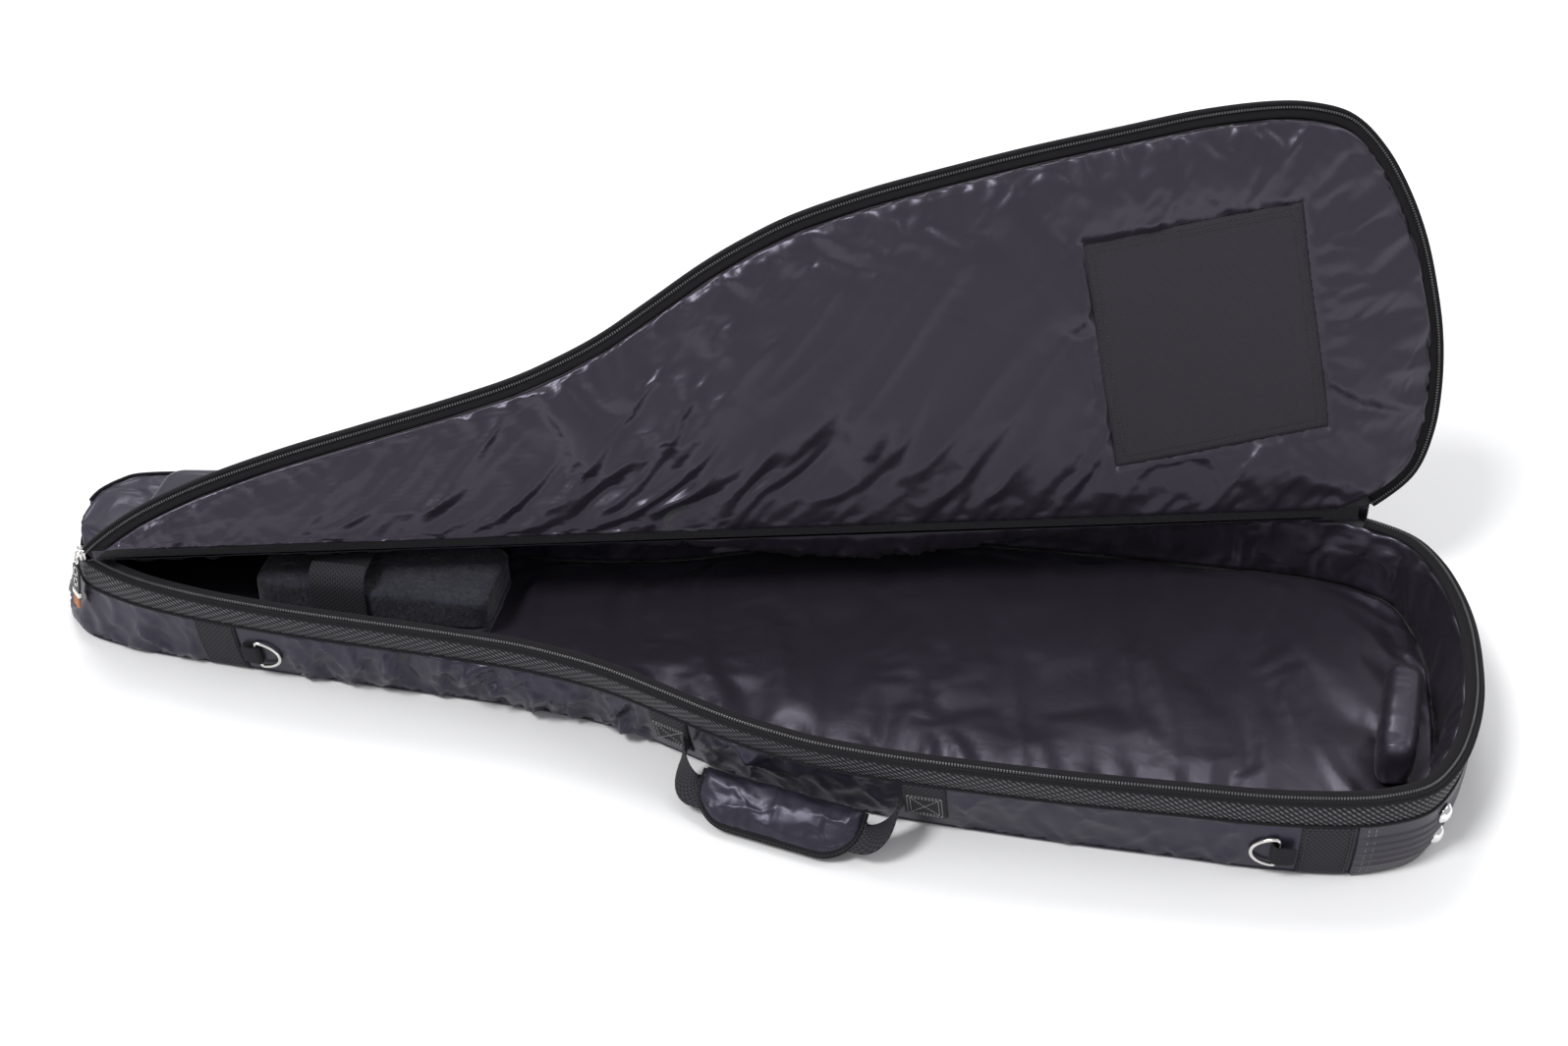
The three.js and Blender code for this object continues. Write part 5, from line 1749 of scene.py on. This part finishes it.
def add_pocket(name, corners, body, node, seed):
    """A padded flat pocket with a zip between two piped edges."""
    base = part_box(f"{node}_gusset")[0].z / MM if body == "root" else LID_TOP + 0.3
    raise_it = turn_open if body == "lid" else np.asarray
    plan, normals = pocket_outline(corners, 16)
    middle = plan.mean(0)
    around = path_length(np.vstack([plan, plan[:1]]))

    def level(inset, z):
        return np.column_stack([plan - normals * inset, np.full(len(plan), z)])

    def surface(label, rings, look, nodes, capped=False):
        loops = [level(inset, base + z) for inset, z in rings]
        if capped:
            rim = loops[-1]
            for share in np.linspace(0.92, 0, 16):
                inner = np.column_stack([middle + (rim[:, :2] - middle) * share, rim[:, 2]])
                folds = creases(inner[:, 0] / 60, inner[:, 1] / 36, seed)
                inner[:, 2] += min(1.0, (1 - share) * 4) * (0.6 + 2.6 * folds) + 2.4 * (1 - share**2)
                loops.append(inner)
        points = raise_it(np.stack(loops, axis=1))
        obj = clean(grid(label, points, uv_arrays(around, path_length(points[0])), wrap_u=True))
        place(obj, body, look, nodes)
        return obj

    gusset = [(20, 0.2), (0.6, 0.0), (-0.3, 2.5), (-0.6, 5.0), (-0.3, 8.0), (0.8, 10.0), (6, 10.2)]
    tape = [(8, 10.3), (1.6, 10.3), (1.6, 14.3), (8, 14.3)]
    front = [(8, 14.5), (0.8, 14.6), (-0.3, 16.0), (0.0, 18.0), (1.6, 19.8), (4.5, 20.8), (9, 21.3)]
    surface(f"{name}_side", gusset, "nylon", [f"{node}_gusset"])
    surface(f"{name}_tape", tape, "binding", [f"{node}_zip"])
    face = surface(f"{name}_face", front, "nylon", [f"{node}_front"], capped=True)
    for k, z in enumerate((10.0, 14.6)):
        cord = raise_it(level(0.2, base + z))
        normal = unit(raise_it(cord[:1] + [0, 0, 1.0]) - raise_it(cord[:1]))[0]
        place(tube(f"{name}_piping_{k}", cord, 1.25, 10, closed=True, up=normal), body, "binding")
    where = np.arange(0, around[-1], TEETH_PITCH)
    closed = np.vstack([plan, plan[:1]]), np.vstack([normals, normals[:1]])
    at, out = (np.stack([np.interp(where, around, part[:, k]) for k in (0, 1)], axis=1) for part in closed)
    side = np.column_stack([-out[:, 1], out[:, 0]])
    block = [(a, d, h) for h in (10.9, 13.7) for a, d in ((-0.75, -1.6), (0.75, -1.6), (0.75, -0.4), (-0.75, -0.4))]
    points = [np.column_stack([at + side * a + out * d, np.full(len(at), base + h)]) for a, d, h in block]
    place(blocks(f"{name}_teeth", raise_it(np.stack(points, axis=1))), body, "teeth")


def add_pocket_slider(name, node, joint, slide_body, pull_body):
    """The pocket's slider on the edge, and the oval ring that lies on the pocket."""
    x = np.array(JOINTS[joint]["axis"])
    down = np.array([0, 0, -1.0]) if name == "head" else LID_DOWN
    y = np.cross(down, x)
    origin = pivot_of(joint) - 4 * y + 14.5 * down
    axes = (x, y, down)
    turned = (x, down, -y)
    bridge = local(origin, axes, [(0, along, level) for along, level in half_oval(2.9, -13.1, 2.5, -2.6)])
    parts = slider_body(
        "pocket_slider", (-4.5, 4.5, -13.0, 1.8, 2.6), (-1.4, -4.4), ((-1.6, 1.6, -8, 0, 0.8), 4.0, -2.9),
        origin, turned, (bridge, 0.6, x))
    place(join_meshes(f"{name}_pocket_zip_slider", parts), slide_body, "nickel", [f"{node}_slider"])
    ring = local(origin, axes, [(px, py - 4, -14.5) for px, py in oval(0, 0, 6, 8, 40)])
    pull = tube(f"{name}_pocket_ring", ring, 1.0, 12, closed=True, up=down)
    place(pull, pull_body, "nickel", [f"{node}_pull"])


# ---------- run ----------

add_camera()
add_stage()

wall_nylon = add_side_wall()
wall_inside = add_wall_lining()
floor_inside = add_floor_lining()
lid_outside = add_lid_outer()
lid_inside = add_lid_lining()
hinge_inside = add_hinge_lining()
handle_origin, handle_axes, handle_span = handle_frame()
grip_start = (handle_span - GRIP_LENGTH) / 2
grip_sheets = add_grip_sheets(handle_origin, handle_axes, grip_start)
settle_cloths()
place_sheets([
    (wall_nylon, "root", "nylon", ["side_wall_shell"], "gathered", ["side_wall_foam"]),
    (wall_inside, "root", "lining", ["side_wall_lining"], "gathered", ["side_wall_foam"]),
    (floor_inside, "root", "lining", ["back_panel_lining"], "laid", ["back_panel_foam"]),
    (lid_outside, "fold", "nylon", ["lid_shell", "hinge_strip_shell"], "stretched", ["lid_foam"]),
    (lid_inside, "lid", "lining", ["lid_lining"], "gathered", ["lid_foam"]),
    (hinge_inside, "root", "lining", ["hinge_strip_lining"], "hung", ["hinge_strip_foam"]),
])

add_mesh_band()
add_back_panel()
add_tape("base_zip_tape", WALL_H + 0.3, False, "root", ["zip_tape_base"])
add_teeth("base_zip_teeth", CHAIN_Z, False, "root", ["zip_chain_base"])
add_tape("lid_zip_tape", LID_TAPE_Z, True, "lid", ["zip_tape_lid"])
add_teeth("lid_zip_teeth", LID_CHAIN_Z, True, "lid", ["zip_chain_lid"])
add_lid_edge()
add_bridge_patch()
add_bands()
add_tail_guard()
add_feet()
add_d_ring("head_ring", "d_ring_head", "d_ring_tab_head", "ring_head_swing", 1, "ring_head")
add_d_ring("tail_ring", "d_ring_tail", "d_ring_tab_tail", "ring_tail_swing", -1, "ring_tail")
add_handle_patches()
add_handle(grip_sheets, handle_origin, handle_axes, handle_span, grip_start)
add_neck_rest()
add_tail_pillow()
add_main_puller()
add_pocket("head_pocket_pad", HEAD_POCKET, "root", "head_pocket", 95)
add_pocket("music_pocket_pad", MUSIC_POCKET, "lid", "music_pocket", 97)
add_pocket_slider("head", "head_pocket", "head_pull_swing", "head_slider", "head_pull")
add_pocket_slider("music", "music_pocket", "music_pull_swing", "music_slider", "music_pull")

for node in ("back_panel_foam", "side_wall_foam", "lid_foam", "hinge_strip_foam"):
    dress(frame["nodes"][node], "foam")
